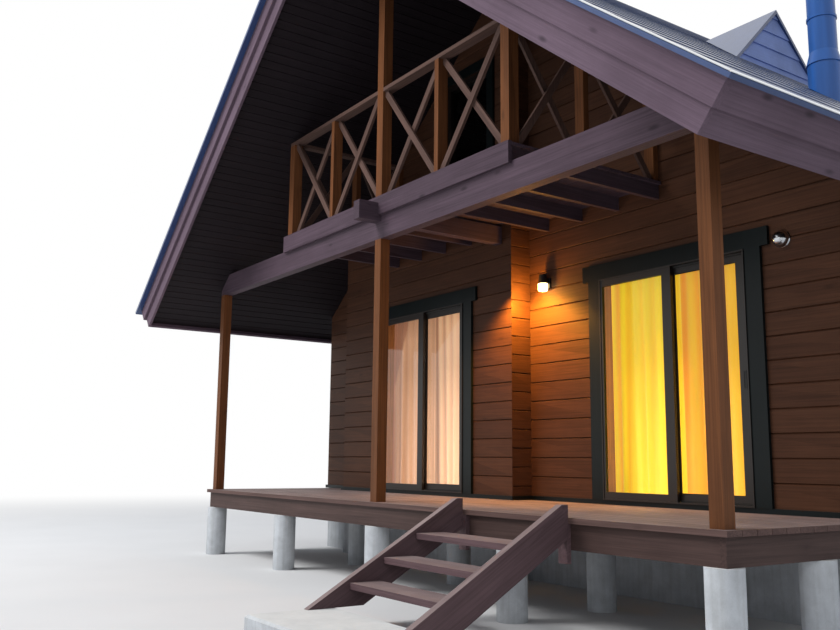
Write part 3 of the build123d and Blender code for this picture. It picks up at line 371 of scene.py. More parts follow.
def cast_concrete(name, tone):
    """Concrete cast in smooth tubes and forms: pale, clouded with bloom, pitted and darker towards the
    ground.

    Faces turned up are painted paler, as painted light from above.
    """
    material, tree, place = new_material(name)
    cloud = node(tree, "TexNoise", {"Vector": place, "Scale": per(170), "Detail": 6.0, "Roughness": 0.65})
    runs = node(tree, "TexNoise", {
        "Vector": node(tree, "Mapping", {"Vector": place, "Scale": (per(45), per(45), per(900))}),
        "Scale": 1.0, "Detail": 4.0})
    grit = node(tree, "TexNoise", {"Vector": place, "Scale": per(4), "Detail": 2.0})
    body = node(tree, "ValToRGB", [cloud], [(0.3, shade(tone, 0.80)), (0.7, shade(tone, 1.08))])
    mixed = layered(tree, body, (0.5, runs, [(0.34, (0.74, 0.73, 0.70)), (0.55, grey(1.0))]),
                    (0.6, grit, [(0.35, grey(0.84)), (0.6, grey(1.0))]))
    # Faces turned up are painted paler, as painted light from above
    upward = node(tree, "SeparateXYZ", [node(tree, "NewGeometry").outputs["Normal"]]).outputs["Z"]
    painted_top_light = node(tree, "MapRange", [upward, 0.6, 0.9, 0.0, 0.85])
    mixed = node(tree, "Mix", {0: painted_top_light, 6: mixed, 7: linear("#efefec")}, data_type="RGBA")
    # Darker towards the ground, in a cloudy band
    level = node(tree, "SeparateXYZ", [place]).outputs["Z"]
    edge = node(tree, "Math", [cloud, 0.22, level], operation="MULTIPLY_ADD")
    darker_low = node(tree, "MapRange", [edge, 0.10, 0.30, 0.35, 0.0])
    mixed = node(tree, "Mix", {0: darker_low, 6: mixed, 7: shade(tone, 0.42)}, data_type="RGBA")
    return finish(material, mixed, 0.85, grit, 0.0015, IOR=1.5)


def coated_metal(name, tone, rough, streak=0.10, coat=0.0):
    """Coated or anodised sheet: an even satin colour with faint rain runs and a soft highlight."""
    material, tree, place = new_material(name)
    runs = node(tree, "TexNoise", {
        "Vector": node(tree, "Mapping", {"Vector": place, "Scale": (per(110), per(110), per(1400))}),
        "Scale": 1.0, "Detail": 4.0})
    fine = node(tree, "TexNoise", {"Vector": place, "Scale": per(18), "Detail": 3.0})
    body = node(tree, "ValToRGB", [runs], [(0.3, shade(tone, 1 - streak)), (0.7, shade(tone, 1 + streak))])
    dulled = node(tree, "MapRange", {"Value": fine, "To Min": rough - 0.06, "To Max": rough + 0.06})
    return finish(material, body, dulled, fine, 0.0003, IOR=1.5, Coat_Weight=coat, Coat_Roughness=0.2)


def bare_metal(name, tone, rough):
    """Bare polished metal: bright, with fine rolling or buffing marks."""
    material, tree, place = new_material(name)
    marks = node(tree, "TexNoise", {
        "Vector": node(tree, "Mapping", {"Vector": place, "Scale": (per(33), per(33), per(2.5))}),
        "Scale": 1.0, "Detail": 2.0})
    body = node(tree, "ValToRGB", [marks], [(0.3, shade(tone, 0.9)), (0.7, tone)])
    return finish(material, body, rough, marks, 0.0002, Metallic=1.0)


def float_glass(name):
    """Clear float glass, lightly dusty: the curtain shows through a thin reflection of the sky."""
    material, tree, place = new_material(name)
    dust = node(tree, "TexNoise", {"Vector": place, "Scale": per(330), "Detail": 5.0})
    rough = node(tree, "MapRange", {"Value": dust, "To Min": 0.0, "To Max": 0.03})
    tint = node(tree, "ValToRGB", [dust], [(0.3, (0.95, 0.97, 0.96)), (0.7, (0.98, 0.99, 0.99))])
    glass = node(tree, "BsdfPrincipled", {"Base Color": tint, "Roughness": rough, "IOR": 1.45,
                                          "Transmission Weight": 1.0, "Specular Tint": grey(0.2)})
    clear = node(tree, "BsdfTransparent", [(0.94, 0.96, 0.95)])
    passing = node(tree, "LightPath").outputs["Is Shadow Ray"]
    node(tree, "OutputMaterial", {"Surface": node(tree, "MixShader", [passing, glass, clear])})
    return material


def curtain_cloth(name, tone, fold_shade_tone, glow):
    """Woven curtain cloth with painted light from a room behind it and painted shade deepening its folds.

    Threads 0.4 mm apart are too fine to show, so the weave is drawn 4 mm apart.
    """
    material, tree, place = new_material(name)
    warp, weft = (node(tree, "TexWave", {"Vector": place, "Scale": per(4) * math.pi / 10, "Distortion": 1.5},
                       bands_direction=way) for way in ("X", "Z"))
    weave = node(tree, "Math", [warp.outputs["Fac"], weft.outputs["Fac"]], operation="MULTIPLY")
    slub = node(tree, "TexNoise", {
        "Vector": node(tree, "Mapping", {"Vector": place, "Scale": (per(70), per(70), per(1250))}),
        "Scale": 1.0, "Detail": 4.0})
    # The fold colour is painted shade, mixed in by the fold_depth attribute
    fold = node(tree, "Attribute", attribute_name="fold_depth").outputs["Fac"]
    body = node(tree, "ValToRGB", [slub], [(0.3, shade(tone, 0.90)), (0.7, shade(tone, 1.05))])
    body = node(tree, "Mix", {0: fold, 6: body, 7: fold_shade_tone}, data_type="RGBA").outputs[2]
    # The emission is painted light from a room behind the cloth
    return finish(material, body, 0.92, weave, 0.0008, Sheen_Weight=0.3, Sheen_Roughness=0.5,
                  Emission_Color=body, Emission_Strength=glow)


def opal_glass(name, tone, glow):
    """Opal glass of a lit lamp: an even warm glow."""
    material, tree, place = new_material(name)
    cloud = node(tree, "TexNoise", {"Vector": place, "Scale": per(50)})
    body = node(tree, "ValToRGB", [cloud], [(0.3, shade(tone, 0.94)), (0.7, tone)])
    return finish(material, body, 0.35, Emission_Color=body, Emission_Strength=glow, IOR=1.5)


# Shapes


def mesh_of(name, shapes, smooth=False, closed=True):
    """A mesh from lists of points and faces; closed shells are turned to face outward."""
    vertices, faces = [], []
    for points, sides in shapes:
        start = len(vertices)
        vertices += [tuple(point) for point in points]
        faces += [tuple(i + start for i in side) for side in sides]
    mesh = bpy.data.meshes.new(name)
    mesh.from_pydata(vertices, [], faces)
    mesh.validate()
    if closed:
        work = bmesh.new()
        work.from_mesh(mesh)
        bmesh.ops.recalc_face_normals(work, faces=work.faces)
        work.to_mesh(mesh)
        work.free()
    for polygon in mesh.polygons:
        polygon.use_smooth = smooth
    mesh.update()
    return mesh


def placed(name, data):
    """A new object in the scene."""
    made = bpy.data.objects.new(name, data)
    bpy.context.scene.collection.objects.link(made)
    return made


def piece(name, shapes, material, body="house", smooth=False, closed=True):
    """Makes a piece of its shapes, gives it its material and lets it ride on a body."""
    made = placed(name, mesh_of(name, shapes, smooth, closed))
    made.data.materials.append(material)
    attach(made, body)
    return made


def extrusion(points, direction):
    """Points and faces of a closed outline carried along a vector, with both ends closed."""
    count = len(points)
    vertices = [Vector(p) for p in points] + [Vector(p) + Vector(direction) for p in points]
    faces = [(i, (i + 1) % count, count + (i + 1) % count, count + i) for i in range(count)]
    faces += [tuple(reversed(range(count))), tuple(range(count, 2 * count))]
    return vertices, faces


def board(low, high):
    """Points and faces of a straight board between two corners."""
    (x0, y0, z0), (x1, y1, z1) = low, high
    return extrusion([(x0, y0, z0), (x1, y0, z0), (x1, y1, z0), (x0, y1, z0)], (0, 0, z1 - z0))


def ease(target, width, segments=2):
    """Eases the arrises of sawn or folded work with a narrow bevel."""
    modifier = target.modifiers.new("Eased edges", "BEVEL")
    modifier.width = width
    modifier.segments = segments
    modifier.limit_method = "ANGLE"
    modifier.angle_limit = math.radians(40)
    return target


def turned(profile, centre, axis, segments):
    """A lathe-turned or rolled form: a profile of radius and height about an axis."""
    turn = Vector((0, 0, 1)).rotation_difference(Vector(axis)).to_matrix()
    vertices, faces = [], []
    for radius, height in profile:
        for k in range(segments):
            angle = 2 * math.pi * k / segments
            spoke = Vector((radius * math.cos(angle), radius * math.sin(angle), height))
            vertices.append(Vector(centre) + turn @ spoke)
    for row in range(len(profile) - 1):
        for k in range(segments):
            a = row * segments + k
            b = row * segments + (k + 1) % segments
            faces.append((a, b, b + segments, a + segments))
    faces.append(tuple(reversed(range(segments))))
    last = (len(profile) - 1) * segments
    faces.append(tuple(range(last, last + segments)))
    return vertices, faces


def rod(start, end, radius):
    """A straight round rod between two points."""
    way = end - start
    return turned([(radius, 0), (radius, way.length)], start, way, 8)


def on_slope(depth, run, y, side):
    """A point of one roof slope: a depth square below its top, a run down from the ridge."""
    x = run * math.cos(SLOPE) - depth * math.sin(SLOPE)
    return Vector((side * x, y, RIDGE_TOP - run * math.sin(SLOPE) - depth * math.cos(SLOPE)))


def along_roof(outline, side, y0, y1):
    """A strip of one roof slope: an outline of depths and runs, carried from one Y to another."""
    return extrusion([on_slope(depth, run, y0, side) for depth, run in outline], (0, y1 - y0, 0))


def light(name, kind, place, turn, **settings):
    """A lamp at a place, with its turn about X, Y and Z and its settings."""
    data = bpy.data.lights.new(name, kind)
    for key, value in settings.items():
        setattr(data, key, value)
    made = placed(name, data)
    made.location, made.rotation_euler = place, turn
    return made


def dress(material, *names, arris=0.0):
    """Gives CAD nodes their finish, and eased arrises of a width if it is given."""
    for name in names:
        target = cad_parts[name]
        target.data.materials.clear()
        target.data.materials.append(material)
        if arris:
            ease(target, arris)


# Operators


class CABIN_OT_walls(bpy.types.Operator):
    """Stain the log walls, paint the sill edge and the trims, and oil the floors"""

    bl_idname = "cabin.walls"
    bl_label = "Log Walls"

    def execute(self, context):
        tone = chosen("logs")
        front = timber("Brushed log stain, front courses", tone, "x", FRONT_START, worn=0)
        side = timber("Brushed log stain, side courses", tone, "y", SIDE_START, worn=0)
        dress(front, "front_walls_beside_doors", "front_walls_over_doors", "back_wall")
        dress(side, "side_walls")
        paint = painted_board("Dark green gloss paint on board", chosen("green"), "z", 0.34)
        dress(paint, "opening_trims", "base_sill", arris=sizes().arris)
        dress(timber("Oiled pine floor", linear("#b98a58"), "y", knots=0.3, rough=0.4, worn=0), "floors")
        return {"FINISHED"}


class CABIN_OT_porch(bpy.types.Operator):
    """Stain the posts, beams, rails, braces, deck and stair, with eased arrises"""

    bl_idname = "cabin.porch"
    bl_label = "Porch Timber"

    def execute(self, context):
        posts, rails, beams, deck, stair = (chosen(name) for name in
                                            ("posts", "rails", "beams", "deck", "stair"))
        finishes = [
            (timber("Brushed post stain", posts, "z"), ["posts"]),
            (timber("Brushed rail stain", rails, "x", knots=0.3), ["top_rails"]),
            (timber("Brushed rail stain, outer braces", rails, "outer braces", knots=0.3),
             ["rail_braces_outer"]),
            (timber("Brushed rail stain, inner braces", rails, "inner braces", knots=0.3),
             ["rail_braces_inner"]),
            (timber("Thin beam stain", beams, "x", knots=0.95), ["header_beam", "rim_board"]),
            (timber("Thin beam stain, joists", shade(beams, 0.9), "y"), ["balcony_joists"]),
            (timber("Worn deck stain", deck, "x", knots=0.35, rough=0.68, worn=0.7), ["deck_boards"]),
            # The fascia and the joists are darker copies of the deck stain: painted shade on the fascia and
            # under the deck
            (timber("Worn deck stain, fascia", shade(deck, 0.62), "fascia"), ["deck_fascia"]),
            (timber("Worn deck stain, joists", shade(deck, 0.6), "y", knots=0.2), ["deck_joists"]),
            # Stringers are a darker and treads a lighter copy of one stain: painted shade on the sides,
            # painted light on top
            (timber("Worn stair stain, stringers", shade(stair, 0.9), "stair", worn=0.9),
             ["stair_stringers"]),
            (timber("Worn stair stain, treads", shade(stair, 1.05), "x", knots=0.4, worn=0.8),
             ["stair_treads"]),
        ]
        for material, names in finishes:
            dress(material, *names, arris=sizes().arris)
        self.screws()
        return {"FINISHED"}

    def screws(self):
        """Two countersunk screws where each deck board crosses a joist, and two at each end of a tread."""
        radius, lift, sink = sizes().screw / 2, 0.0006, 0.001
        board_edge, tread_edge, tread_end = 0.03, 0.06, 0.035
        places = []
        y = DECK_LOW.y
        while y + DECK_BOARD < BAY_FACE + 0.02:
            x = JOIST_START
            while x <= -JOIST_START + 0.01:
                places += [(x, y + board_edge, DECK_HIGH.z), (x, y + DECK_BOARD - board_edge, DECK_HIGH.z)]
                x += JOIST_PITCH
            y += DECK_PITCH
        low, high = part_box("stair_treads")
        for step in range(TREADS):
            back, top = high.y - step * GOING, high.z - step * RISE
            for x in (low.x + tread_end, high.x - tread_end):
                places += [(x, back - tread_edge, top), (x, back - TREAD_DEPTH + tread_edge, top)]
        profile = [(radius * 0.8, -sink), (radius, lift * 0.5), (radius * 0.85, lift)]
        heads = [turned(profile, place, (0, 0, 1), 8) for place in places]
        steel = bare_metal("Zinc-plated screw heads", linear("#8b8a86"), 0.4)
        piece("deck_screws", heads, steel)


class CABIN_OT_concrete(bpy.types.Operator):
    """Finish the piers, the stair's slab and the foundation as cast concrete"""

    bl_idname = "cabin.concrete"
    bl_label = "Concrete"

    def execute(self, context):
        dress(cast_concrete("Cast concrete", chosen("concrete")), "concrete_footings", "foundation")
        return {"FINISHED"}


class CABIN_OT_balcony(bpy.types.Operator):
    """Lay the balcony floor as separate boards across its joists"""

    bl_idname = "cabin.balcony"
    bl_label = "Balcony Boards"

    def execute(self, context):
        low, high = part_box("balcony_floor")
        pitch = sizes().balcony_board + sizes().board_gap
        boards = []
        y = low.y
        while y < high.y - 0.01:
            y1 = min(y + sizes().balcony_board, high.y)
            x0 = low.x
            if y1 > BAY_FACE:
                x0 = BAY_RIGHT
                if y < BAY_FACE:
                    boards.append(board((low.x, y, low.z), (BAY_RIGHT, BAY_FACE, high.z)))
            boards.append(board((x0, y, low.z), (high.x, y1, high.z)))
            y += pitch
        stain = timber("Thin beam stain, balcony boards", shade(chosen("beams"), 0.95), "x", knots=0.4)
        made = piece("balcony_boards", boards, stain)
        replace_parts(ease(made, 0.002, 1), "balcony_floor")
        return {"FINISHED"}


class CABIN_OT_roof(bpy.types.Operator):
    """Cover the roof with lapped steel sheets, edge it with folded metal and board its underside"""

    bl_idname = "cabin.roof"
    bl_label = "Roof"

    def execute(self, context):
        coating = coated_metal("Coil-coated roof steel", chosen("sheet"), 0.3, coat=0.4)
        self.sheets(coating)
        self.edges(coating)
        self.soffit()
        boards = timber("Roof edge board stain", chosen("rakes"), "roof edges", knots=0.8, contrast=0.6,
                        worn=0)
        dress(boards, "fascia_boards_lower", "fascia_boards_upper", arris=sizes().arris)
        dress(coating, "ridge_cap", "dormer_roof", arris=0.002)
        return {"FINISHED"}

    def sheets(self, coating):
        """Long sheets laid level, each lapped over the one below and folded down at its lower edge."""
        step, height = sizes().sheet_step, sizes().step_height
        y0, y1 = ROOF_LOW.y + VERGE, ROOF_HIGH.y - VERGE
        nose = height * 0.35
        shapes = []
        for side in (-1, 1):
            run = COVER_RUN - sizes().bead
            while run > step * 0.2:
                head = max(run - step, 0.004)
                outline = [(height, head), (0.0, run - nose), (nose * 0.4, run - nose * 0.3), (nose, run),
                           (height - 0.001, run), (height, run - nose)]
                shapes.append(along_roof(outline, side, y0, y1))
                run -= step
        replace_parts(piece("roof_sheets", shapes, coating), "roof_covering")

    def edges(self, coating):
        """A tray under the sheets with verge flashings at both gables, and a bright rolled bead round it."""
        y0, y1, top, ridge = ROOF_LOW.y, ROOF_HIGH.y, 0.001, 0.002
        bead = sizes().bead
        radius, under = bead / 2, bead + TRAY_GAP
        foot, end = COVER_RUN - radius, COVER_RUN - bead
        tray = [(under, ridge), (COVER_THICK, ridge), (COVER_THICK, COVER_RUN), (under, COVER_RUN)]
        verge = [(top, ridge), (under, ridge), (under, end), (top, end)]
        trays, beads = [], []
        for side in (-1, 1):
            trays.append(along_roof(tray, side, y0, y1))
            for start in (y0 + bead, y1 - VERGE):
                trays.append(along_roof(verge, side, start, start + VERGE - bead))
            for y in (y0 + radius, y1 - radius):
                beads.append(rod(on_slope(radius, radius, y, side), on_slope(radius, foot, y, side), radius))
            beads.append(rod(on_slope(radius, foot, y0, side), on_slope(radius, foot, y1, side), radius))
        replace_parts(piece("roof_edge_trays", trays, coating), "roof_covering")
        zinc = bare_metal("Rolled bright zinc", linear("#f4f6f8"), 0.3)
        piece("roof_edge_beads", beads, zinc, smooth=True)

    def soffit(self):
        """The roof's slabs with their underside in narrow boards, a V groove at each joint."""
        run = SLAB_HIGH.x / math.cos(SLOPE) + COVER_THICK * PITCH
        width, groove, narrowest = sizes().soffit_board, 0.006, 0.03
        start, top = SLAB_THICK * PITCH + 0.002, COVER_THICK + 0.001
        outline = [(SLAB_THICK, start)]
        place = start + width
        while place < run - narrowest:
            outline += [(SLAB_THICK, place - groove), (SLAB_THICK - groove, place),
                        (SLAB_THICK, place + groove)]
            place += width
        outline += [(SLAB_THICK, run), (top, run), (top, COVER_THICK * PITCH + 0.003)]
        slabs = [along_roof(outline, side, SLAB_LOW.y, SLAB_HIGH.y) for side in (-1, 1)]
        # The soffit colour is partly dark stain, partly painted shade under the roof
        stain = timber("Dark soffit stain", chosen("soffit"), "y", knots=0.4, worn=0)
        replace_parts(piece("soffit_boards", slabs, stain), "roof_slopes")


class CABIN_OT_dormer(bpy.types.Operator):
    """Paint the dormer's lapped boards and coat the flue"""

    bl_idname = "cabin.dormer"
    bl_label = "Dormer and Flue"

    def execute(self, context):
        dress(painted_board("Faded blue-grey oil paint", chosen("siding"), "y"), "dormer_wall")
        # The flue's blue is a painted reflection of the sky
        coating = coated_metal("Heat-proof flue coating", chosen("flue"), 0.34, streak=0.25)
        dress(coating, "flue", arris=0.004)
        return {"FINISHED"}


class CABIN_OT_doors(bpy.types.Operator):
    """Finish the door leaves, frames, windows and panes, with their gaskets and flush pulls"""

    bl_idname = "cabin.doors"
    bl_label = "Doors and Windows"

    def execute(self, context):
        bronze = coated_metal("Bronze anodised aluminium", chosen("bronze"), 0.35)
        dress(bronze, "door_jambs", "door_heads_and_thresholds", "fixed_sashes", "left_leaf", "right_leaf",
              "window_frames", "curtain_rails", arris=0.002)
        dress(float_glass("Float glass"), "fixed_panes", "left_leaf_glass", "right_leaf_glass",
              "window_glass")
        rubber = coated_metal("Black moulded rubber", linear("#141312"), 0.6)
        # The near-black recess lining is painted shade
        recess = coated_metal("Shaded pull recess", linear("#0c0b0a"), 0.5)
        pine = timber("Oiled pine lining", linear("#c08a52"), "z", knots=0.3, rough=0.45, worn=0)
        for door in DOORWAYS:
            self.gasket(door, rubber)
            self.pull(door, bronze, recess)
            self.lining(door, pine)
            self.stops(door, rubber)
        return {"FINISHED"}

    def gasket(self, door, rubber):
        """A black rim round the pane of a leaf."""
        low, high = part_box(door + "_leaf_glass")
        width, reach = 0.008, 0.006
        x0, x1, z0, z1 = low.x + FIT_GAP, high.x - FIT_GAP, low.z + FIT_GAP, high.z - FIT_GAP
        strips = [board((a, low.y - reach, c), (b, low.y - FIT_GAP, d)) for a, b, c, d in (
            (x0, x1, z0, z0 + width), (x0, x1, z1 - width, z1),
            (x0, x0 + width, z0 + width, z1 - width), (x1 - width, x1, z0 + width, z1 - width))]
        piece(door + "_gasket", strips, rubber, door + "_door_leaf")

    def lining(self, door, pine):
        """Thin pine boards on the jambs and the head of a doorway, from the sashes back to the room."""
        x0, x1, face = DOORWAYS[door]
        thick, foot, head = 0.004, DOOR_FOOT + 0.001, DOOR_HEAD - FIT_GAP
        front, behind, back = face + 0.003, face + LEAF_BACK + 0.008, face + WALL_THICK - 0.001
        boards = [board((x0 + FIT_GAP, front, foot), (x0 + thick, back, head)),
                  board((x1 - thick, behind, foot), (x1 - FIT_GAP, back, head)),
                  board((x0 + thick, behind, DOOR_HEAD - thick), (x1 - thick, back, head))]
        piece(door + "_door_lining", boards, pine)

    def stops(self, door, rubber):
        """Black weather strips on the frame in front of a leaf, which close the gap round it."""
        x0, x1, face = DOORWAYS[door]
        start, width, clear = (x0 + x1) / 2 + SASH_OVER, 0.016, 0.0055
        y0, y1 = face + 0.0005, face + LEAF_FRONT - clear
        z0, z1 = DOOR_FOOT + FIT_GAP, DOOR_HEAD - FIT_GAP
        strips = [board((x1 - width, y0, z0), (x1 - FIT_GAP, y1, z1)),
                  board((start, y0, z0), (x1 - width, y1, z0 + width)),
                  board((start, y0, z1 - width), (x1 - width, y1, z1))]
        piece(door + "_door_stops", strips, rubber)

    def pull(self, door, bronze, recess):
        """A flush finger pull on the closing stile: a raised rim round a recess lined near-black as painted
        shade.
        """
        low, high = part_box(door + "_leaf")
        x, half, tall, rim, proud, sink = high.x - PULL_INSET, 0.014, 0.075, 0.004, 0.003, 0.002
        x0, x1, z0, z1 = x - half, x + half, PULL_HEIGHT - tall, PULL_HEIGHT + tall
        y0, y1 = low.y - proud, low.y + sink
        strips = [board((a, y0, c), (b, y1, d)) for a, b, c, d in (
            (x0, x0 + rim, z0, z1), (x1 - rim, x1, z0, z1),
            (x0 + rim, x1 - rim, z0, z0 + rim), (x0 + rim, x1 - rim, z1 - rim, z1))]
        leaf = door + "_door_leaf"
        piece(door + "_pull_rim", strips, bronze, leaf)
        cup = board((x0 + rim, low.y - 0.0006, z0 + rim), (x1 - rim, y1, z1 - rim))
        piece(door + "_pull_recess", [cup], recess, leaf)


class CABIN_OT_curtains(bpy.types.Operator):
    """Hang two pleated curtains behind each door"""

    bl_idname = "cabin.curtains"
    bl_label = "Curtains"

    def execute(self, context):
        random.seed(SEED)
        cloths = {
            # Each cloth glows with painted light from a room behind it
            "left": curtain_cloth("Woven cream curtain", chosen("cream_cloth"), chosen("cream_fold_shade"), 0.6),
            "right": curtain_cloth("Woven yellow curtain", chosen("warm_cloth"), chosen("warm_fold_shade"), 0.64),
        }
        lap, step = 0.025, 0.009
        for door, (x0, x1, face) in DOORWAYS.items():
            x0, x1 = x0 - CURTAIN_LAP, x1 + CURTAIN_LAP
            y, wall, middle = face + CURTAIN_PLANE, face + WALL_THICK + 0.004, (x0 + x1) / 2
            left = door == "left"
            # The outer left sheet and the inner right sheet are painted dimmer, as painted shade
            self.hang(door + "_curtain_outer", [(x0, wall), (x0, y + step), (middle + lap, y + step)],
                      cloths[door], 0.55 if left else 0.0, left)
            self.hang(door + "_curtain_inner", [(middle - lap, y - step), (x1, y - step), (x1, wall)],
                      cloths[door], 0.0 if left else 0.50)
        return {"FINISHED"}

    def hang(self, name, corners, material, shade_share, dark_corner=False):
        """One pleated sheet along a bent line: pleats gathered at the top that wander towards the hem.

        It turns back to the wall beside the doorway. The shade_share is how far the whole cloth takes the
        colour of its folds, as painted shade. With dark_corner, its top left corner is darker too.
        """
        low, high = CURTAIN_LOW.z + 0.001, min(CURTAIN_HIGH.z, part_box("curtain_rails")[0].z) - 0.001
        legs = [Vector(end) - Vector(start) for start, end in zip(corners, corners[1:])]
        bend, whole = legs[0].length, legs[0].length + legs[1].length
        pleats = max(3, round(whole / sizes().pleat))
        phases = [random.uniform(-0.5, 0.5) for _ in range(pleats + 2)]
        columns, rows, width = pleats * 14, 36, pleats * 14 + 1
        top_wave, hem_wave, corner, side_hem, wandering = 0.008, 0.006, 0.05, 0.08, 0.9
        vertices, fold_shades, faces = [], [], []
        for row in range(rows + 1):
            down = row / rows
            for column in range(columns + 1):
                across = column / columns
                place, run = across * pleats, across * whole
                k = min(int(place), pleats - 1)
                wander = (phases[k] * (k + 1 - place) + phases[k + 1] * (place - k)) * wandering * down
                swing = math.sin(2 * math.pi * (place + wander))
                leg = 0 if run < bend else 1
                way = legs[leg].normalized()
                spot = Vector(corners[leg]) + way * (run - leg * bend)
                calm = min(1.0, abs(run - bend) / corner, 0.3 + min(run, whole - run) / side_hem)
                spot += Vector((-way.y, way.x)) * (top_wave + hem_wave * down) * swing * calm
                vertices.append(Vector((spot.x, spot.y, high - (high - low) * down)))
                # The painted fold shade is deepest at the left edge, and the darker corner runs down to it
                # from the top
                fold = (0.5 + 0.5 * swing) ** 1.6 * (0.24 + 0.76 * max(0.0, 1 - 2.6 * across))
                depth = shade_share + (1 - shade_share) * fold
                # A band at the top left corner, narrowing downward, takes the fold colour
                if dark_corner:
                    edge, blur = 0.43 - 0.72 * down, 0.06
                    depth = max(depth, 0.95 * min(1.0, max(0.0, (edge - across) / blur)))
                fold_shades.append(depth)
        for row in range(rows):
            for a in range(row * width, row * width + columns):
                faces.append((a, a + width, a + width + 1, a + 1))
        made = piece(name, [(vertices, faces)], material, smooth=True, closed=False)
        made.data.attributes.new("fold_depth", "FLOAT", "POINT").data.foreach_set("value", fold_shades)
        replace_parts(made, "curtains")
        row = rows // 2 * width


class CABIN_OT_fittings(bpy.types.Operator):
    """Fit the spun vent cowl and the lit wall lamp"""

    bl_idname = "cabin.fittings"
    bl_label = "Fittings"

    def execute(self, context):
        black = coated_metal("Black powder coat", linear("#16161a"), 0.4)
        self.cowl(black)
        self.lamp(black)
        return {"FINISHED"}

    def cowl(self, black):
        """A spun steel dome on a flange, with dark slats in its mouth."""
        low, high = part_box("vent_hood")
        x, y, z = (low.x + high.x) / 2, high.y, (low.z + high.z) / 2
        radius, reach, flange = (high.x - low.x) / 2, high.y - low.y, 0.016
        dome, mouth, bands = radius * 0.90, radius * 0.80, 10
        profile = [(radius, 0), (radius, 0.004), (radius * 0.94, 0.006), (dome, flange)]
        for k in range(1, bands + 1):
            angle = math.pi / 2 * k / bands
            profile.append((max(0.002, dome * math.cos(angle)), flange + (reach - flange) * math.sin(angle)))
        steel = bare_metal("Spun stainless steel", linear("#c9ccd0"), 0.16)
        cowl = piece("vent_cowl", [turned(profile, (x, y, z), (0, -1, 0), 56)], steel,
                     smooth=True)
        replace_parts(cowl, "vent_hood")
        slats, thick = [], 0.003
        for below in (0.052, 0.041, 0.030, 0.019):
            half = 0.8 * math.sqrt(mouth ** 2 - below ** 2)
            slats.append(board((x - half, y - reach * 0.80, z - below),
                               (x + half, y - 0.012, z - below + thick)))
        piece("vent_slats", slats, black)

    def lamp(self, black):
        """A plate, a conical cap and a lit opal glass under it.

        Two lights stand for it: a weak one to all sides, and a strong one that the cap sends downward.
        """
        low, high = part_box("wall_lamp")
        x, z = (low.x + high.x) / 2, (low.z + high.z) / 2
        radius, tall, plate = 0.060, high.z - low.z, 0.052
        y, glass_top = low.y + radius, 0.46 * tall
        foot, up = (x, y, low.z), (0, 0, 1)
        rim = radius - 0.022 / tall * glass_top
        back = board((x - plate, high.y - 0.02, z - plate), (x + plate, high.y, z + plate))
        cap = turned([(rim - 0.004, glass_top), (rim, glass_top), (rim, glass_top + 0.006),
                      (radius - 0.022, tall - 0.004), (radius - 0.026, tall)], foot, up, 40)
        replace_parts(ease(piece("lamp_shade", [back, cap], black), 0.002), "wall_lamp")
        bulb = turned([(0.020, 0.001), (0.042, 0.006), (0.050, 0.022), (0.050, glass_top - 0.004),
                       (0.046, glass_top + 0.002)], foot, up, 40)
        opal = opal_glass("Lit opal glass", linear("#ffdf9a"), 9.0)
        piece("lamp_glass", [bulb], opal, smooth=True)
        shared = {"shadow_soft_size": 0.04, "color": chosen("glow")}
        left = x - 0.07
        light("lamp_glow", "POINT", (left, y - 0.12, low.z - 0.04), (0, 0, 0), energy=26, **shared)
        light("lamp_pool", "SPOT", (left, y - 0.42, low.z + 0.02), (math.radians(27), 0, 0), energy=225,
              spot_size=math.radians(124), spot_blend=0.6, **shared)


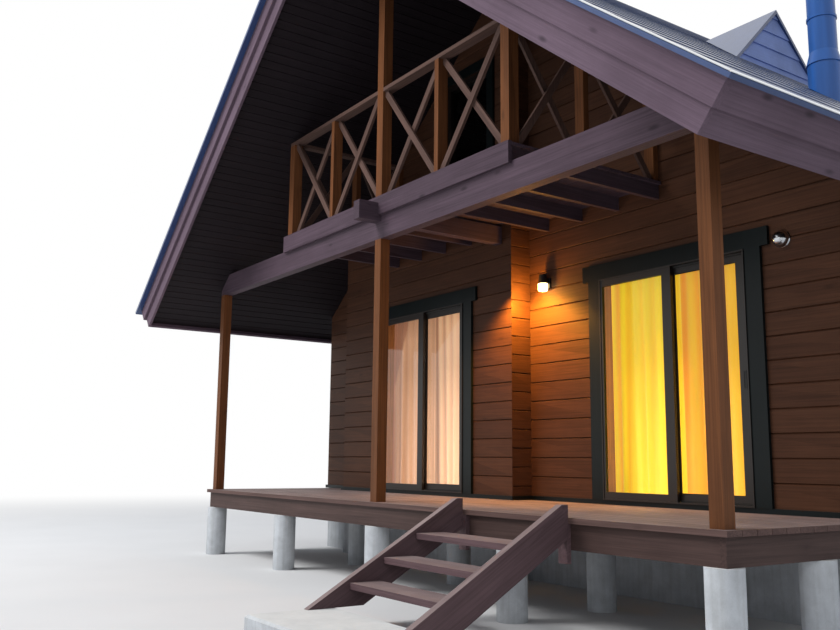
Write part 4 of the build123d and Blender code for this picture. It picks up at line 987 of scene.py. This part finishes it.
class CABIN_OT_stage(bpy.types.Operator):
    """Make the pale floor, the soft studio light and the camera at the photograph's angle"""

    bl_idname = "cabin.stage"
    bl_label = "Stage"

    def execute(self, context):
        scene = context.scene
        self.floor()
        self.world(scene)
        self.lamps()
        self.camera(scene)
        scene.view_settings.view_transform = "Standard"
        return {"FINISHED"}

    def seen(self, tree):
        """One where the camera looks straight at a thing, or sees it in metal or through glass."""
        path = node(tree, "LightPath")
        through = node(tree, "Math", [path.outputs["Is Glossy Ray"], path.outputs["Is Transmission Ray"]],
                       operation="MAXIMUM")
        return node(tree, "Math", [path.outputs["Is Camera Ray"], through], operation="MAXIMUM")

    def floor(self):
        """A pale floor that keeps the cabin's shadow and runs out into the white background."""
        material, tree, place = new_material("Pale studio floor")
        cloud = node(tree, "TexNoise", {"Vector": place, "Scale": per(1250), "Detail": 3.0})
        tone = node(tree, "ValToRGB", [cloud], [(0.3, grey(0.79)), (0.7, grey(0.82))])
        shader = node(tree, "BsdfPrincipled", {"Base Color": tone, "Roughness": 0.9})
        middle, near, far = (0.0, 3.5, 0.0), 7.0, 24.0
        away = node(tree, "VectorMath", [place, middle], operation="DISTANCE").outputs["Value"]
        blend = node(tree, "MapRange", [away, near, far, 0.0, 1.0], interpolation_type="SMOOTHSTEP")
        factor = node(tree, "Math", [blend, self.seen(tree)], operation="MULTIPLY")
        both = node(tree, "MixShader", [factor, shader, node(tree, "Emission", [grey(1.0)])])
        node(tree, "OutputMaterial", {"Surface": both})
        reach, level = 90, -0.001
        corners = [(x * reach, y * reach, level) for x, y in ((-1, -1), (1, -1), (1, 1), (-1, 1))]
        made = placed("studio_floor", mesh_of("studio_floor", [(corners, [(0, 1, 2, 3)])], closed=False))
        made.data.materials.append(material)

    def world(self, scene):
        """Soft even light; what the camera, metal and glass see of it is white."""
        world = bpy.data.worlds.new("Studio")
        world.use_nodes = True
        tree = world.node_tree
        tree.nodes.clear()
        soft = node(tree, "Background", [linear("#e2e8f2"), 0.5])
        white = node(tree, "Background", [grey(1.0), 1.0])
        node(tree, "OutputWorld", {"Surface": node(tree, "MixShader", [self.seen(tree), soft, white])})
        scene.world = world

    def lamps(self):
        """Two wide softboxes that no metal or glass shows: the key in front on the left, the fill right."""
        for name, place, power in (("key", (-6, -12, 15), 3000), ("fill", (13, -7, 7), 240)):
            turn = (Vector((0, 2, 2.5)) - Vector(place)).to_track_quat("-Z", "Y").to_euler()
            light(name, "AREA", place, turn, shape="SQUARE", size=8, energy=power).visible_glossy = False

    def camera(self, scene):
        """The place, turn and lens that match the photograph's edges."""
        azimuth, pitch, roll = (math.radians(angle) for angle in CAMERA_TURN)
        data = bpy.data.cameras.new("photo_camera")
        data.sensor_width = 36.0
        data.lens = FOCAL_LENGTH * data.sensor_width / PHOTO_WIDTH
        data.clip_end = 200
        made = placed("photo_camera", data)
        made.matrix_world = (Matrix.Translation(CAMERA_PLACE) @ Matrix.Rotation(azimuth, 4, "Z")
                             @ Matrix.Rotation(math.pi / 2 + pitch, 4, "X") @ Matrix.Rotation(roll, 4, "Z"))
        scene.camera = made


class CABIN_PT_panel(bpy.types.Panel):
    """The cabin's steps, sizes and colours"""

    bl_idname = "CABIN_PT_panel"
    bl_label = "Log Cabin"
    bl_space_type = "VIEW_3D"
    bl_region_type = "UI"
    bl_category = "Cabin"

    def draw(self, context):
        column = self.layout.column()
        for step in STEPS:
            column.operator(step.bl_idname)
        for group in (context.scene.cabin_sizes, context.scene.cabin_colours):
            for key in group.__annotations__:
                column.prop(group, key)


STEPS = (CABIN_OT_walls, CABIN_OT_porch, CABIN_OT_concrete, CABIN_OT_balcony, CABIN_OT_roof, CABIN_OT_dormer,
         CABIN_OT_doors, CABIN_OT_curtains, CABIN_OT_fittings, CABIN_OT_stage)
CLASSES = (CABIN_PG_sizes, CABIN_PG_colours, *STEPS, CABIN_PT_panel)


def register():
    for item in CLASSES:
        bpy.utils.register_class(item)
    bpy.types.Scene.cabin_sizes = bpy.props.PointerProperty(type=CABIN_PG_sizes)
    bpy.types.Scene.cabin_colours = bpy.props.PointerProperty(type=CABIN_PG_colours)


def unregister():
    del bpy.types.Scene.cabin_colours
    del bpy.types.Scene.cabin_sizes
    for item in reversed(CLASSES):
        bpy.utils.unregister_class(item)


def main():
    register()
    for step in STEPS:
        getattr(bpy.ops.cabin, step.bl_idname.split(".")[1])()


if __name__ == "__main__":
    main()
